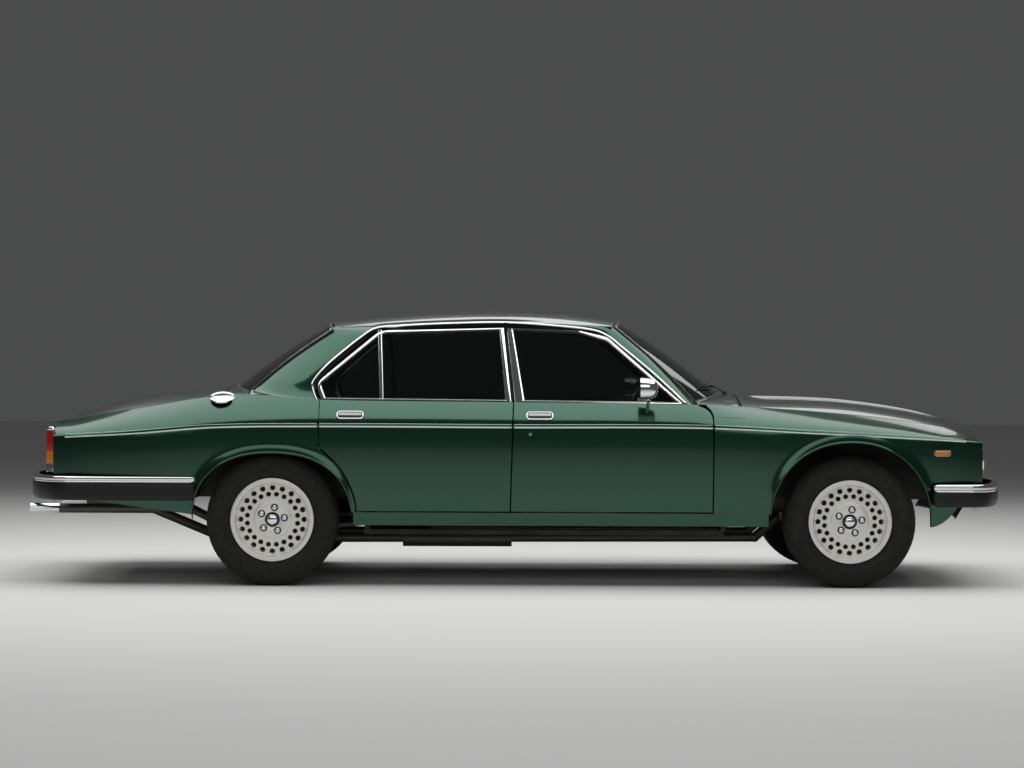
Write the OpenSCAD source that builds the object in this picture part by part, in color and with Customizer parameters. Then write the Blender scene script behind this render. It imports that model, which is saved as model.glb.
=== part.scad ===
// Four-door luxury sedan, modelled as an assembly of separate panels and running gear.
// +X is forward, +Y is to the left, +Z is up; the origin is on the ground under the middle of the car.

/* [Overall size] */
// Distance between the front and rear axles
wheelbase = 2865; // [2780:5:2950]
// Front axle to the front of the bumper
front_overhang = 820; // [800:5:850]
// Rear axle to the back of the bumper
rear_overhang = 1274; // [1255:5:1310]
// Width of the body at its waist
body_w = 1770; // [1740:5:1820]
// Height of the roof's crown above the ground
roof_h = 1378; // [1360:2:1400]
// Distance between the middles of the front tyres
front_track = 1480; // [1460:2:1500]
// Distance between the middles of the rear tyres
rear_track = 1495; // [1475:2:1510]

/* [Body lines] */
// Height of the bottom edge of the sills
sill_h = 303; // [290:1:315]
// Height of the top of the sills
sill_top_h = 367; // [355:1:380]
// Height of the waist crease along the doors
waist_h = 790; // [770:1:800]
// Height of the window line along the doors
belt_h = 915; // [905:1:930]
// How far the body side tucks in from the waist to the sill
tuck_under = 55; // [40:1:65]
// Lean of the side windows from upright, in degrees
tumblehome = 24.5; // [23:0.1:25.5]
// Gap between panels that move
shut_gap = 7; // [6:0.5:8]
// Thickness of the wings
wing_t = 9; // [7:0.5:11]
// Thickness of the bonnet, boot lid and roof
lid_t = 18; // [14:1:22]
// Thickness of the glass
glass_t = 6; // [5:0.5:7]
// Length of a front door at its outer skin
front_door_l = 996; // [980:1:1010]
// Length of the thin front lip that covers a door's hinges
door_lip_l = 95; // [92:1:105]

/* [Wheels] */
// Outside diameter of a tyre
tyre_d = 656; // [640:2:664]
// Section width of a tyre
tyre_w = 205; // [195:1:210]
// Diameter over the rim's flanges
rim_d = 412; // [406:1:416]
// Width over the rim's flanges
rim_w = 170; // [160:1:176]
// Bolt circle of the wheel nuts
nut_pcd = 120.65; // [114.3:0.05:127]
// Holes in each of the wheel's two rows
hole_count = 20; // [16:1:22]
// Radius of the wheel spindles
spindle_r = 20; // [18:0.5:22]
// Radial running clearance of spindles and pivots
run_gap = 0.05; // [0.02:0.01:0.09]

/* [Hidden] */
$fn = 64;

// Where the axles and the ends of the body are
overall_l = front_overhang + wheelbase + rear_overhang;
x_front = overall_l / 2;
x_rear = -overall_l / 2;
x_fa = x_front - front_overhang;
x_ra = x_fa - wheelbase;
axle_z = tyre_d / 2;
half_w = body_w / 2;
x_nose = x_fa + 725;
x_nose_side = x_fa + 665;
x_tail = x_ra - 1130;
x_tail_side = x_ra - 1095;

// Where the doors start and end
x_a = x_fa - 682;
x_b = x_a - front_door_l;
x_c = x_ra + 230;
seat_gap = 0.3;

// Lines along the body: each pairs a station with a height or a half-width
half_width_line = [
    [x_tail_side, half_w - 118], [x_ra - 950, half_w - 72], [x_ra - 500, half_w - 20], [x_ra, half_w - 3],
    [x_ra + 900, half_w], [x_fa - 800, half_w], [x_fa, half_w - 5], [x_fa + 350, half_w - 38],
    [x_fa + 560, half_w - 78], [x_nose_side, half_w - 120]
];
waist_line = [
    [x_tail_side, waist_h - 62], [x_ra - 680, waist_h - 38], [x_ra - 300, waist_h - 7], [x_c, waist_h + 1],
    [x_b, waist_h], [x_a - 60, waist_h + 1], [x_fa - 160, waist_h - 24], [x_fa + 430, waist_h - 54],
    [x_nose_side, waist_h - 68]
];
shoulder_line = [
    [x_tail_side, belt_h - 106], [x_ra - 1000, belt_h - 92], [x_ra - 670, belt_h - 38], [x_ra - 320, belt_h + 20],
    [x_ra - 150, belt_h + 31], [x_ra + 50, belt_h + 23], [x_c, belt_h + 8], [x_b, belt_h],
    [x_a - 110, belt_h - 8], [x_fa - 550, belt_h - 18], [x_fa - 155, belt_h - 44], [x_fa + 235, belt_h - 81],
    [x_fa + 530, belt_h - 127], [x_nose_side, belt_h - 163]
];
shoulder_width_line = [
    [x_tail_side, half_w - 250], [x_ra - 670, half_w - 195], [x_ra - 300, half_w - 168], [x_ra, half_w - 130],
    [x_c, half_w - 98], [x_b, half_w - 92], [x_a - 110, half_w - 98], [x_fa - 550, half_w - 150],
    [x_fa - 155, half_w - 182], [x_fa + 300, half_w - 215], [x_nose_side, half_w - 275]
];
crown_line = [
    [x_tail, belt_h - 108], [x_ra - 1100, belt_h - 88], [x_ra - 770, belt_h + 14], [x_ra - 420, belt_h + 60],
    [x_ra - 250, belt_h + 75], [x_fa - 520, belt_h + 42], [x_fa - 75, belt_h + 31], [x_fa + 233, belt_h - 4],
    [x_fa + 440, belt_h - 44], [x_fa + 645, belt_h - 105], [x_nose, belt_h - 134]
];

// Wheel arches: half-length, height over the axle and roundness
front_arch = [400, 393, 2.12];
rear_arch = [395, 331, 2.3];
// Radius of the rear door's edge round the rear arch
door_arc_r = 426;
// Radius of the corner at the top front of a front door
door_corner_r = 66;

// Smooth curve through the points of a line
function piece(x, p, i = 0) = (i >= len(p) - 2 || x < p[i + 1][0]) ? i : piece(x, p, i + 1);
function chord(p, i, k) = (p[k][1] - p[i][1]) / (p[k][0] - p[i][0]);
function slope(p, i) = chord(p, max(i - 1, 0), min(i + 1, len(p) - 1));
function line_at(x, p) =
    let (i = piece(x, p), h = p[i + 1][0] - p[i][0], t = min(1, max(0, (x - p[i][0]) / h)))
    p[i][1] * (2 * pow(t, 3) - 3 * t * t + 1) + slope(p, i) * h * (pow(t, 3) - 2 * t * t + t)
    + p[i + 1][1] * (3 * t * t - 2 * pow(t, 3)) + slope(p, i + 1) * h * (pow(t, 3) - t * t);

// Half-width of the body side at a station and height
function side_y(x, z) =
    let (a = line_at(x, half_width_line), zw = line_at(x, waist_line))
    z < zw ? a - tuck_under * pow((zw - z) / (waist_h - sill_h), 2.6)
    : let (rise = line_at(x, shoulder_line) - zw)
      a - (a - line_at(x, shoulder_width_line)) * pow(min(1.05, (z - zw) / rise), 1.5);
// Height of the bonnet, boot and scuttle at a station and half-width
function top_z(x, y) =
    let (zs = line_at(x, shoulder_line), ys = line_at(x, shoulder_width_line))
    zs + (line_at(x, crown_line) - zs) * (1 - pow(abs(y) / ys, 2.2));
function arch_z(x, x_axle, arch) =
    let (s = min(1, abs(x - x_axle) / arch[0])) axle_z + arch[1] * pow(1 - pow(s, arch[2]), 1 / arch[2]);
function mix(a, b, t) = a + (b - a) * t;
function steps(n) = [for (i = [0 : n]) i / n];

// Points on the right-hand body side, outside and a wall's thickness inside
function skin(x, z) = [x, -side_y(x, z), z];
function skin_in(x, z, t) =
    let (m = side_y(x, z + 1) / 2 - side_y(x, z - 1) / 2, c = t / sqrt(1 + m * m))
    [x, -(side_y(x, z) - c), z + m * c];

// Closed solid between an outer and an inner grid of points
module slab(outer, inner) {
    nu = len(outer);
    nv = len(outer[0]);
    n = nu * nv;
    function id(i, j) = i * nv + j;
    polyhedron(
        points = concat([for (row = outer) each row], [for (row = inner) each row]),
        faces = concat(
            [for (i = [0 : nu - 2], j = [0 : nv - 2]) [id(i, j), id(i, j + 1), id(i + 1, j + 1)]],
            [for (i = [0 : nu - 2], j = [0 : nv - 2]) [id(i, j), id(i + 1, j + 1), id(i + 1, j)]],
            [for (i = [0 : nu - 2], j = [0 : nv - 2]) [n + id(i, j), n + id(i + 1, j + 1), n + id(i, j + 1)]],
            [for (i = [0 : nu - 2], j = [0 : nv - 2]) [n + id(i, j), n + id(i + 1, j), n + id(i + 1, j + 1)]],
            [for (j = [0 : nv - 2]) [id(0, j + 1), id(0, j), n + id(0, j), n + id(0, j + 1)]],
            [for (j = [0 : nv - 2], i = [nu - 1]) [id(i, j), id(i, j + 1), n + id(i, j + 1), n + id(i, j)]],
            [for (i = [0 : nu - 2]) [id(i, 0), id(i + 1, 0), n + id(i + 1, 0), n + id(i, 0)]],
            [for (i = [0 : nu - 2], j = [nv - 1]) [id(i + 1, j), id(i, j), n + id(i, j), n + id(i + 1, j)]]
        )
    );
}

module both_sides() {
    children();
    mirror([0, 1, 0]) children();
}
module on_left(left) {
    if (left) mirror([0, 1, 0]) children();
    else children();
}

// Round bar between two points
module rod(a, b, r) {
    d = b - a;
    l = norm(d);
    translate(a) rotate([0, acos(d[2] / l), atan2(d[1], d[0])]) cylinder(r = r, h = l);
}
// Outline in X and Z, drawn out across the car from one Y to another
module across(y0, y1) {
    translate([0, y1, 0]) rotate([90, 0, 0]) linear_extrude(height = y1 - y0) children();
}
// Outline in Y and Z, drawn out along the car from one X to another
module along(x0, x1) {
    translate([x0, 0, 0]) rotate([90, 0, 90]) linear_extrude(height = x1 - x0) children();
}

// Polygon corners moved inwards, for a list that runs anticlockwise
function unit(v) = v / norm(v);
function inset(p, d) = [
    for (i = [0 : len(p) - 1])
        let (n = len(p), u = unit(p[i] - p[(i + n - 1) % n]), v = unit(p[(i + 1) % n] - p[i]),
             a = [-u[1], u[0]], b = [-v[1], v[0]])
        p[i] + d * (a + b) / (1 + a * b)
];
// Polygon with its corners rounded, each to its own radius
function rounded(p, r, n = 5) = [
    for (i = [0 : len(p) - 1])
        let (k = len(p), u = unit(p[i] - p[(i + k - 1) % k]), v = unit(p[(i + 1) % k] - p[i]),
             turn = atan2(u[0] * v[1] - u[1] * v[0], u * v), side = sign(turn), rr = r[i],
             c = p[i] - u * rr * tan(abs(turn) / 2) + [-u[1], u[0]] * side * rr)
        each rr == 0 ? [p[i]]
            : [for (t = steps(n)) let (w = turn * t, q = [u[1], -u[0]] * side * rr)
                c + [q[0] * cos(w) - q[1] * sin(w), q[0] * sin(w) + q[1] * cos(w)]]
];

// Greenhouse: upright outlines in X and Z on the leaning plane of the right-hand windows
belt_half = half_w - 115;
gutter_z = roof_h - 66;
frame_gap = 12;
frame_t = 28;
pillar_depth = 36;
pillar_t = 30;
window_top = gutter_z - 23;
window_rise = window_top - belt_h;
quarter_drop = 0.76 * window_rise;
light_l = 0.331 * front_door_l;
function belt_at(x) = line_at(x, shoulder_line);

module lean_slab(depth, thick) {
    translate([0, -belt_half, belt_h]) rotate([-tumblehome, 0, 0])
        translate([x_rear, depth, -250]) cube([overall_l, thick, roof_h]);
}
module side_plate(depth, thick) {
    intersection() {
        across(-half_w - 100, -200) children();
        lean_slab(depth, thick);
    }
}
module window_hole(p, r, margin) {
    polygon(rounded(inset(p, -margin), [for (q = r) q + margin]));
}

// Frames and panes of the side windows
front_frame = [
    [x_b + 13, belt_at(x_b + 13)], [x_a - 138, belt_at(x_a - 138)],
    [x_fa - 1200, window_top - 0.118 * window_rise],
    [x_b + light_l, window_top - 12], [x_b - 28, window_top - 1]
];
front_frame_r = [0, 0, 0.214 * window_rise, 0.535 * window_rise, 0];
front_pane = [
    [x_b + 63, belt_at(x_b + 63) + 10], [x_a - 172, belt_at(x_a - 172) + 10],
    [x_fa - 1205, window_top - 0.176 * window_rise],
    [x_b + light_l, window_top - 22], [x_b + 2, window_top - 10]
];
front_pane_r = [0, 0, 0.171 * window_rise, 0.508 * window_rise, 0];
rear_frame = [
    [x_c + 6, belt_at(x_c + 6)], [x_b - 3, belt_at(x_b - 3)], [x_b - 44, window_top - 1],
    [x_c + 290, window_top - 17], [x_c - 24, window_top - quarter_drop]
];
rear_frame_r = [0, 0, 0, 0.294 * window_rise, 0.147 * window_rise];
rear_pane = [
    [x_c + 28, belt_at(x_c + 28) + 10], [x_b - 37, belt_at(x_b - 37) + 10], [x_b - 66, window_top - 11],
    [x_c + 300, window_top - 30], [x_c - 2, window_top - quarter_drop]
];
rear_pane_r = [0, 0, 0, 0.254 * window_rise, 0.107 * window_rise];
// Height of the gutter along the side of the roof
gutter_mid = x_b - 30;
function gutter_at(x) = gutter_z - (x > gutter_mid ? 0.00006 : 0.00005) * pow(x - gutter_mid, 2);
rail_top = [for (t = steps(6)) let (x = mix(x_fa - 1182, x_c + 62, t)) [x, gutter_at(x) - 5]];
// Outline of the side frame's face and of the stouter wall behind the doors
frame_face = concat(
    [for (t = steps(3)) let (x = mix(x_ra - 105, x_c - 12, t)) [x, belt_at(x) + 0.8]],
    [[x_c + 40, belt_h + 9], [x_a - 122, belt_h + 5], [x_a - 90, belt_h + 2]],
    rail_top
);
frame_wall = concat(
    [
        [x_ra - 105, belt_h - 95], [x_c - 18, belt_h - 95], [x_c - 18, belt_h + 16], [x_a - 125, belt_h + 2],
        [x_a - 96, belt_h - 4], [x_a - 96, belt_h - 45], [x_a - 17, belt_h - 45], [x_a - 17, belt_h - 27],
        [x_a - 72, belt_h - 15], [x_a - 92, belt_h - 3]
    ],
    rail_top
);
// Room at the foot of the centre post, where the front edge of the rear door's frame swings in
post_room = [
    [x_b - 80, belt_h - 20], [x_b - 4, belt_h - 20],
    [x_b - 48, belt_h + 0.45 * window_rise], [x_b - 80, belt_h + 0.45 * window_rise]
];

module side_frames() {
    color("darkgreen") both_sides() union() {
        side_plate(2, 45) difference() {
            polygon(frame_face);
            window_hole(front_frame, front_frame_r, frame_gap);
            window_hole(rear_frame, rear_frame_r, frame_gap);
        }
        side_plate(pillar_depth, pillar_t) difference() {
            polygon(frame_wall);
            window_hole(front_pane, front_pane_r, 4);
            window_hole(rear_pane, rear_pane_r, 4);
            polygon(post_room);
        }
        translate([x_b - 50, -half_w + 193, sill_top_h + seat_gap]) cube([90, 60, belt_h + 40 - sill_top_h]);
        hinge_arms(rear_hinge_x, half_w - 193, x_b - 50);
    }
}

// Roof panel, thin where it rests on the side frames
roof_half = belt_half - (gutter_z - belt_h) * tan(tumblehome) + 1;
function roof_z(x, y) =
    let (g = gutter_at(x), c = roof_h - (x > gutter_mid ? 0.00013 : 0.000067) * pow(x - gutter_mid, 2))
    g + (c - g) * (1 - pow(abs(y) / roof_half, 2.4));
function roof_front(y) = x_fa - 1131 - 45 * pow(y / roof_half, 2);
function roof_rear(y) = x_ra + 250 + 40 * pow(y / roof_half, 2);
module roof() {
    grid = [for (u = steps(10)) [for (v = steps(12)) let (y = mix(-roof_half, roof_half, v))
        [mix(roof_rear(y), roof_front(y), u), y]]];
    color("darkgreen") slab(
        [for (row = grid) [for (q = row) [q[0], q[1], roof_z(q[0], q[1])]]],
        [for (row = grid) [for (q = row)
            [q[0], q[1], roof_z(q[0], q[1]) - 4 - (lid_t - 4) * (1 - pow(abs(q[1]) / roof_half, 3))]]]
    );
}

// Windscreen and rear window, each bowed across the car
screen_foot_half = half_w - 195;
screen_head_half = roof_half - 29;
function screen_foot_x(y) = x_fa - 598 - 165 * pow(abs(y) / screen_foot_half, 2.2);
function back_foot_x(y) = x_ra - 246 + 130 * pow(abs(y) / screen_foot_half, 2.2);
function pane_row(foot, head, bulge) = [
    for (v = steps(6)) [mix(foot[0], head[0], v) + bulge * sin(180 * v), mix(foot[1], head[1], v),
        mix(foot[2], head[2], v) + abs(bulge) * sin(180 * v)]
];
module windscreen() {
    rows = [for (u = steps(12)) let (yf = mix(screen_foot_half, -screen_foot_half, u), xf = screen_foot_x(yf),
            yh = mix(screen_head_half, -screen_head_half, u), xh = roof_front(yh) + 13)
        pane_row([xf, yf, top_z(xf, yf) - 8], [xh, yh, roof_z(xh - 13, yh) - 14], 9)];
    color("lightblue") slab(rows, [for (row = rows) [for (q = row) q - [glass_t * 0.6, 0, glass_t * 0.8]]]);
}
module rear_window() {
    rows = [for (u = steps(12)) let (yf = mix(-screen_foot_half, screen_foot_half, u) * 0.93, xf = back_foot_x(yf),
            yh = mix(-screen_head_half, screen_head_half, u), xh = roof_rear(yh) - 13)
        pane_row([xf, yf, top_z(xf, yf) - 8], [xh, yh, roof_z(xh + 13, yh) - 14], -9)];
    color("lightblue") slab(rows, [for (row = rows) [for (q = row) q + [glass_t * 0.6, 0, -glass_t * 0.8]]]);
}

// Wings: columns from a lower to an upper height at each station
function wing_grid(columns) = [
    for (c = columns) let (w = max(mix(c[1], c[2], 0.3), min(mix(c[1], c[2], 0.9), line_at(c[0], waist_line))))
        concat([for (v = [0, 0.35, 0.7]) [c[0], mix(c[1], w, v)]],
            [for (v = [0, 0.2, 0.4, 0.6, 0.8, 1]) [c[0], mix(w, c[2], v)]])
];
module wing(columns) {
    grid = wing_grid(columns);
    slab(
        [for (col = grid) [for (q = col) skin(q[0], q[1])]],
        [for (col = grid) [for (q = col) skin_in(q[0], q[1], wing_t)]]
    );
}
corner_x = x_a - shut_gap / 2 - door_corner_r;
corner_z = line_at(x_a, shoulder_line) - door_corner_r;
function corner_rise(x, r) = corner_z + sqrt(max(0, r * r - pow(x - corner_x, 2)));
front_wing_columns = concat(
    [for (t = steps(4)) let (x = mix(corner_x + 42, x_a + shut_gap / 2 - 0.6, t))
        [x, corner_rise(x, door_corner_r + shut_gap), line_at(x, shoulder_line)]],
    [for (t = steps(3)) let (x = mix(x_a + shut_gap / 2, x_fa - front_arch[0] - 2, t))
        [x, sill_top_h + seat_gap, line_at(x, shoulder_line)]],
    [for (t = steps(12)) let (x = x_fa - front_arch[0] * cos(180 * t))
        [x, max(sill_top_h + seat_gap, arch_z(x, x_fa, front_arch)), line_at(x, shoulder_line)]],
    [for (t = steps(5)) let (x = mix(x_fa + front_arch[0] + 2, x_nose_side, t))
        [x, min(sill_h + 130, sill_h + 0.0052 * pow(x - x_fa - front_arch[0], 2)), line_at(x, shoulder_line)]]
);
rear_arch_turn = 180 - acos((x_c - 0.6 - x_ra) / rear_arch[0]);
rear_wing_columns = concat(
    [for (t = steps(4)) let (x = mix(x_tail_side, x_ra - rear_arch[0] - 2, t))
        [x, sill_h + 50 + 0.13 * (x_ra - rear_arch[0] - x), line_at(x, shoulder_line)]],
    [for (t = steps(9)) let (x = x_ra - rear_arch[0] * cos(mix(0, rear_arch_turn, t)))
        [x, arch_z(x, x_ra, rear_arch), line_at(x, shoulder_line)]],
    [for (t = steps(5)) let (x = mix(x_c, x_ra + door_arc_r - shut_gap - 8, t), r = door_arc_r - shut_gap)
        [x, max(sill_top_h + seat_gap, arch_z(x, x_ra, rear_arch)), axle_z + sqrt(r * r - pow(x - x_ra, 2))]]
);
module front_wings() {
    color("darkgreen") both_sides() wing(front_wing_columns);
}
module rear_wings() {
    color("darkgreen") both_sides() wing(rear_wing_columns);
}

// Doors: rows of stations from the rear edge to the thin lip that covers the hinge
door_foot = sill_top_h + shut_gap;
door_inner_foot = half_w - 140;
door_inner_belt = half_w - 185;
function door_in(z) = mix(door_inner_foot, door_inner_belt, (z - door_foot) / (belt_h - door_foot));
function b_line(z) = x_b + 7 - 14.5 * (belt_h - z) / (belt_h - sill_top_h);
function front_door_front(z) =
    z < corner_z ? corner_x + door_corner_r
    : corner_x + sqrt(max(0, pow(door_corner_r, 2) - pow(z - corner_z, 2)));
function front_door_rear(z) = b_line(z) + shut_gap / 2;
function rear_door_front(z) = b_line(z) - shut_gap / 2;
function rear_door_rear(z) =
    max(x_c + shut_gap / 2, x_ra + sqrt(max(0, pow(door_arc_r, 2) - pow(z - axle_z, 2))));
lip_t = 10;
function door_stations(x0, x1) =
    concat([for (t = steps(6)) mix(x0, x1 - door_lip_l - 2, t)], [x1 - door_lip_l, x1 - door_lip_l / 2, x1]);
function door_top(x) = belt_at(x) - 1;
module door_slab(rows) {
    // rows hold, for each height step, the rear and front edges and the height
    grid = [for (k = [0 : 8]) [for (r = rows) let (x = door_stations(r[0], r[1])[k])
        [x, r[2] >= 1 ? door_top(x) : mix(door_foot, door_top(x), r[2]), k]]];
    slab(
        [for (col = grid) [for (q = col) skin(q[0], q[1])]],
        [for (col = grid) [for (q = col) q[2] > 6 ? skin_in(q[0], q[1], lip_t)
            : [q[0] + (q[2] == 0 ? 25 : 0), -door_in(q[1]), q[1]]]]
    );
}
door_heights = [0, 0.13, 0.26, 0.38, 0.5, 0.6, 0.69, 0.77, 0.84, 0.89, 0.93, 0.965, 1];
function row_z(v) = mix(door_foot, belt_h - 1, v);
module front_door(left) {
    color("darkgreen") on_left(left)
        {
        door_slab([for (v = door_heights) [front_door_rear(row_z(v)), front_door_front(row_z(v)), v]]);
        hinge_eyes(front_hinge_x, x_a - shut_gap / 2, x_a - shut_gap / 2);
    }
}
module rear_door(left) {
    color("darkgreen") on_left(left)
        {
        door_slab([for (v = door_heights) [rear_door_rear(row_z(v)), rear_door_front(row_z(v)), v]]);
        hinge_eyes(rear_hinge_x, rear_door_front(hinge_heights[0] + 12), rear_door_front(hinge_heights[1] + 12));
    }
}
// Hinges: a pin on two arms from the post, and the door's eye that turns on it
hinge_back = 80;
hinge_in = 29;
hinge_y = half_w - hinge_in;
hinge_pin_r = 5;
hinge_heights = [waist_h - 225, waist_h - 50];
front_hinge_x = x_a - shut_gap / 2 - hinge_back;
rear_hinge_x = x_b - shut_gap / 2 - hinge_back;
module hinge_eyes(x, front_edge_low, front_edge_high) {
    edges = [front_edge_low, front_edge_high];
    for (i = [0, 1]) translate([x, -hinge_y, hinge_heights[i]]) difference() {
        union() {
            cylinder(r = 9, h = 24, center = true);
            translate([edges[i] - door_lip_l + 0.6 - x, -6, -12]) cube([x - edges[i] + door_lip_l - 4, 14, 24]);
        }
        cylinder(r = hinge_pin_r + run_gap, h = 30, center = true);
    }
}
module hinge_arms(x, y_post, x_post) {
    for (z = hinge_heights) {
        translate([x, -hinge_y, z]) cylinder(r = hinge_pin_r, h = 60, center = true);
        for (s = [-1, 1]) translate([0, 0, z + s * 22 - 6]) {
            translate([x, -hinge_y, 0]) cylinder(r = 8, h = 12);
            translate([x - 7, -hinge_y, 0]) cube([14, hinge_y - y_post + 14, 12]);
            translate([x - 7, -y_post - 2, 0]) cube([x_post - x + 15, 16, 12]);
        }
    }
}
module door_front_right() { front_door(false); }
module door_front_left() { front_door(true); }
module door_rear_right() { rear_door(false); }
module door_rear_left() { rear_door(true); }

// Bright window frames, each with a pull handle, and a mirror on the front ones
module handle(x) {
    z = waist_h + 58;
    grid = [for (u = steps(6)) [for (v = steps(4)) [x + 138 * (u - 0.5), z + 40 * (v - 0.5),
        14 * pow(max(0, sin(180 * u) * sin(180 * v)), 0.5)]]];
    slab(
        [for (col = grid) [for (q = col) skin(q[0], q[1]) - [0, q[2] + 3, 0]]],
        [for (col = grid) [for (q = col) skin(q[0], q[1]) - [0, 0.5, 0]]]
    );
}
mirror_x = x_a - 325;
mirror_z = belt_h + 70;
module door_mirror() {
    intersection() {
        translate([mirror_x - 45, -half_w - 8, mirror_z]) along(0, 90)
            polygon(rounded([[-88, -56], [88, -56], [88, 56], [-88, 56]], [30, 30, 30, 30]));
        translate([mirror_x - 45, -half_w - 8, mirror_z - 60]) linear_extrude(height = 120)
            polygon(rounded([[0, -88], [60, -88], [90, -40], [90, 40], [60, 88], [0, 88]],
                [0, 30, 40, 40, 30, 0]));
    }
    translate([mirror_x, -half_w + 103, belt_at(mirror_x)]) cylinder(r = 16, h = 24);
    rod([mirror_x, -half_w + 103, belt_h + 6], [mirror_x, -half_w + 30, mirror_z - 40], 11);
}
module front_frame_part(left) {
    color("silver") on_left(left) {
        side_plate(0, frame_t) difference() {
            polygon(rounded(front_frame, front_frame_r));
            polygon(rounded(front_pane, front_pane_r));
        }
        handle(x_b + 137);
        door_mirror();
    }
}
module rear_frame_part(left) {
    color("silver") on_left(left) {
        side_plate(0, frame_t) difference() {
            polygon(rounded(rear_frame, rear_frame_r));
            polygon(rounded(rear_pane, rear_pane_r));
        }
        handle(x_c + 156);
    }
}
module door_frame_front_right() { front_frame_part(false); }
module door_frame_front_left() { front_frame_part(true); }
module door_frame_rear_right() { rear_frame_part(false); }
module door_frame_rear_left() { rear_frame_part(true); }
module front_pane_part(left) {
    color("lightblue") on_left(left) side_plate(11, glass_t)
        polygon(rounded(inset(front_pane, seat_gap), front_pane_r));
}
module rear_pane_part(left) {
    color("lightblue") on_left(left) side_plate(11, glass_t)
        polygon(rounded(inset(rear_pane, seat_gap), rear_pane_r));
}
module door_glass_front_right() { front_pane_part(false); }
module door_glass_front_left() { front_pane_part(true); }
module door_glass_rear_right() { rear_pane_part(false); }
module door_glass_rear_left() { rear_pane_part(true); }

// Bonnet and boot lid
bonnet_rear = x_fa - 530;
boot_front = x_ra - 262;
boot_edge = x_ra - 1100;
boot_foot_z = sill_h + 271;
// The lid narrows towards its hinge, so that its front corners swing clear of the wings
swing_play = 30;
function bonnet_front(y) = x_nose - 60 * pow(abs(y) / (half_w - 275), 2.2);
function lid_half(x) = line_at(x, shoulder_width_line) - shut_gap;
function tail_x(y) = x_tail + 35 * pow(abs(y) / 720, 2);
module bonnet() {
    grid = [for (u = steps(14)) [for (v = steps(12))
        let (xm = mix(bonnet_rear, x_nose_side, u), y = (2 * v - 1) * lid_half(xm))
        [mix(bonnet_rear, bonnet_front(y), u), y]]];
    color("darkgreen") slab(
        [for (row = grid) [for (q = row) [q[0], q[1], top_z(q[0], q[1])]]],
        [for (row = grid) [for (q = row) [q[0], q[1], top_z(q[0], q[1]) - lid_t]]]
    );
}
function boot_face(t) = [for (v = steps(12))
    let (y = (2 * v - 1) * mix(half_w - 305, lid_half(boot_edge), pow(t, 4)))
    [tail_x(y), y, mix(boot_foot_z, top_z(boot_edge, y) - 22, t)]];
function boot_top(t) = [for (v = steps(12))
    let (x = mix(boot_edge, boot_front, t), y = (2 * v - 1) * lid_half(x - swing_play * t)) [x, y, top_z(x, y)]];
module boot_lid() {
    faces = [0, 0.35, 0.7, 1];
    tops = [0.03, 0.12, 0.25, 0.4, 0.55, 0.7, 0.85, 1];
    color("darkgreen") slab(
        concat([for (t = faces) boot_face(t)], [for (t = tops) boot_top(t)]),
        concat(
            [for (t = faces) [for (q = boot_face(t)) q + [lid_t, 0, t == 1 ? -4 : 0]]],
            [for (t = tops) [for (q = boot_top(t)) q + [t < 0.1 ? lid_t - 6 : 0, 0, -lid_t]]]
        )
    );
}

// Front and rear panels, bowed in plan
nose_bow_r = 4320;
tail_bow_r = 7400;
function nose_x(y) = x_nose - 6 - nose_bow_r + sqrt(nose_bow_r * nose_bow_r - y * y);
lamp_outer = [half_w - 300, 634, 86];
lamp_inner = [half_w - 485, 650, 73];
grille_half = half_w - 585;
// Front end of the inner wings, against the back of the nose panel
x_horn = x_nose - 55;
grille_low = 530;
grille_top = 730;
grille_outline = [
    [-grille_half, grille_low], [grille_half, grille_low], [grille_half, grille_top], [-grille_half, grille_top]
];
grille_r = [20, 20, 50, 50];
// Top edge of the nose panel, from the middle outwards
nose_edge = [[0, 754], [half_w - 485, 746], [half_w - 295, 727], [half_w - 245, 730], [half_w - 150, 650]];
module bowed(x_mid, r, thick) {
    translate([x_mid, 0, 0]) difference() {
        cylinder(r = r, h = 1000, $fn = 720);
        translate([0, 0, -1]) cylinder(r = r - thick, h = 1002, $fn = 720);
    }
}
module nose_panel() {
    h = half_w - 140;
    color("darkgreen") difference() {
        intersection() {
            along(x_nose - 200, x_nose + 10)
                polygon(concat([[-h, 500], [h, 500]], [for (i = [4 : -1 : 0]) nose_edge[i]],
                    [for (i = [1 : 4]) [-nose_edge[i][0], nose_edge[i][1]]]));
            bowed(x_nose - 6 - nose_bow_r, nose_bow_r, 25);
        }
        for (s = [-1, 1], lamp = [lamp_outer, lamp_inner])
            translate([x_nose - 250, s * lamp[0], lamp[1]]) rotate([0, 90, 0])
                cylinder(r = lamp[2] + 0.5, h = 300);
        along(x_nose - 250, x_nose + 50) polygon(rounded(grille_outline, grille_r));
    }
}
module tail_panel() {
    color("darkgreen") intersection() {
        along(x_tail - 10, x_tail + 150)
            polygon([[143 - half_w, 458.3], [half_w - 143, 458.3], [half_w - 139, 566], [139 - half_w, 566]]);
        bowed(x_tail + tail_bow_r, tail_bow_r, 20);
    }
}
module grille() {
    color("silver") {
        difference() {
            along(x_nose - 40, x_nose + 8) polygon(rounded(inset(grille_outline, seat_gap), grille_r));
            along(x_nose - 41, x_nose + 9) polygon(rounded(inset(grille_outline, 22), [8, 8, 30, 30]));
        }
        for (i = [-9 : 9])
            translate([x_nose - 34, i * grille_half / 10.4 - 4, grille_low + 18])
                cube([34, 8, grille_top - grille_low - 36]);
    }
}
module headlamps() {
    color("white") for (s = [-1, 1], lamp = [lamp_outer, lamp_inner])
        translate([nose_x(lamp[0]), s * lamp[0], lamp[1]]) rotate([0, 90, 0]) intersection() {
            translate([0, 0, -60]) cylinder(r = lamp[2], h = 90);
            translate([0, 0, 12 - lamp[2] * 2.4]) sphere(r = lamp[2] * 2.4);
        }
}
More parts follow.
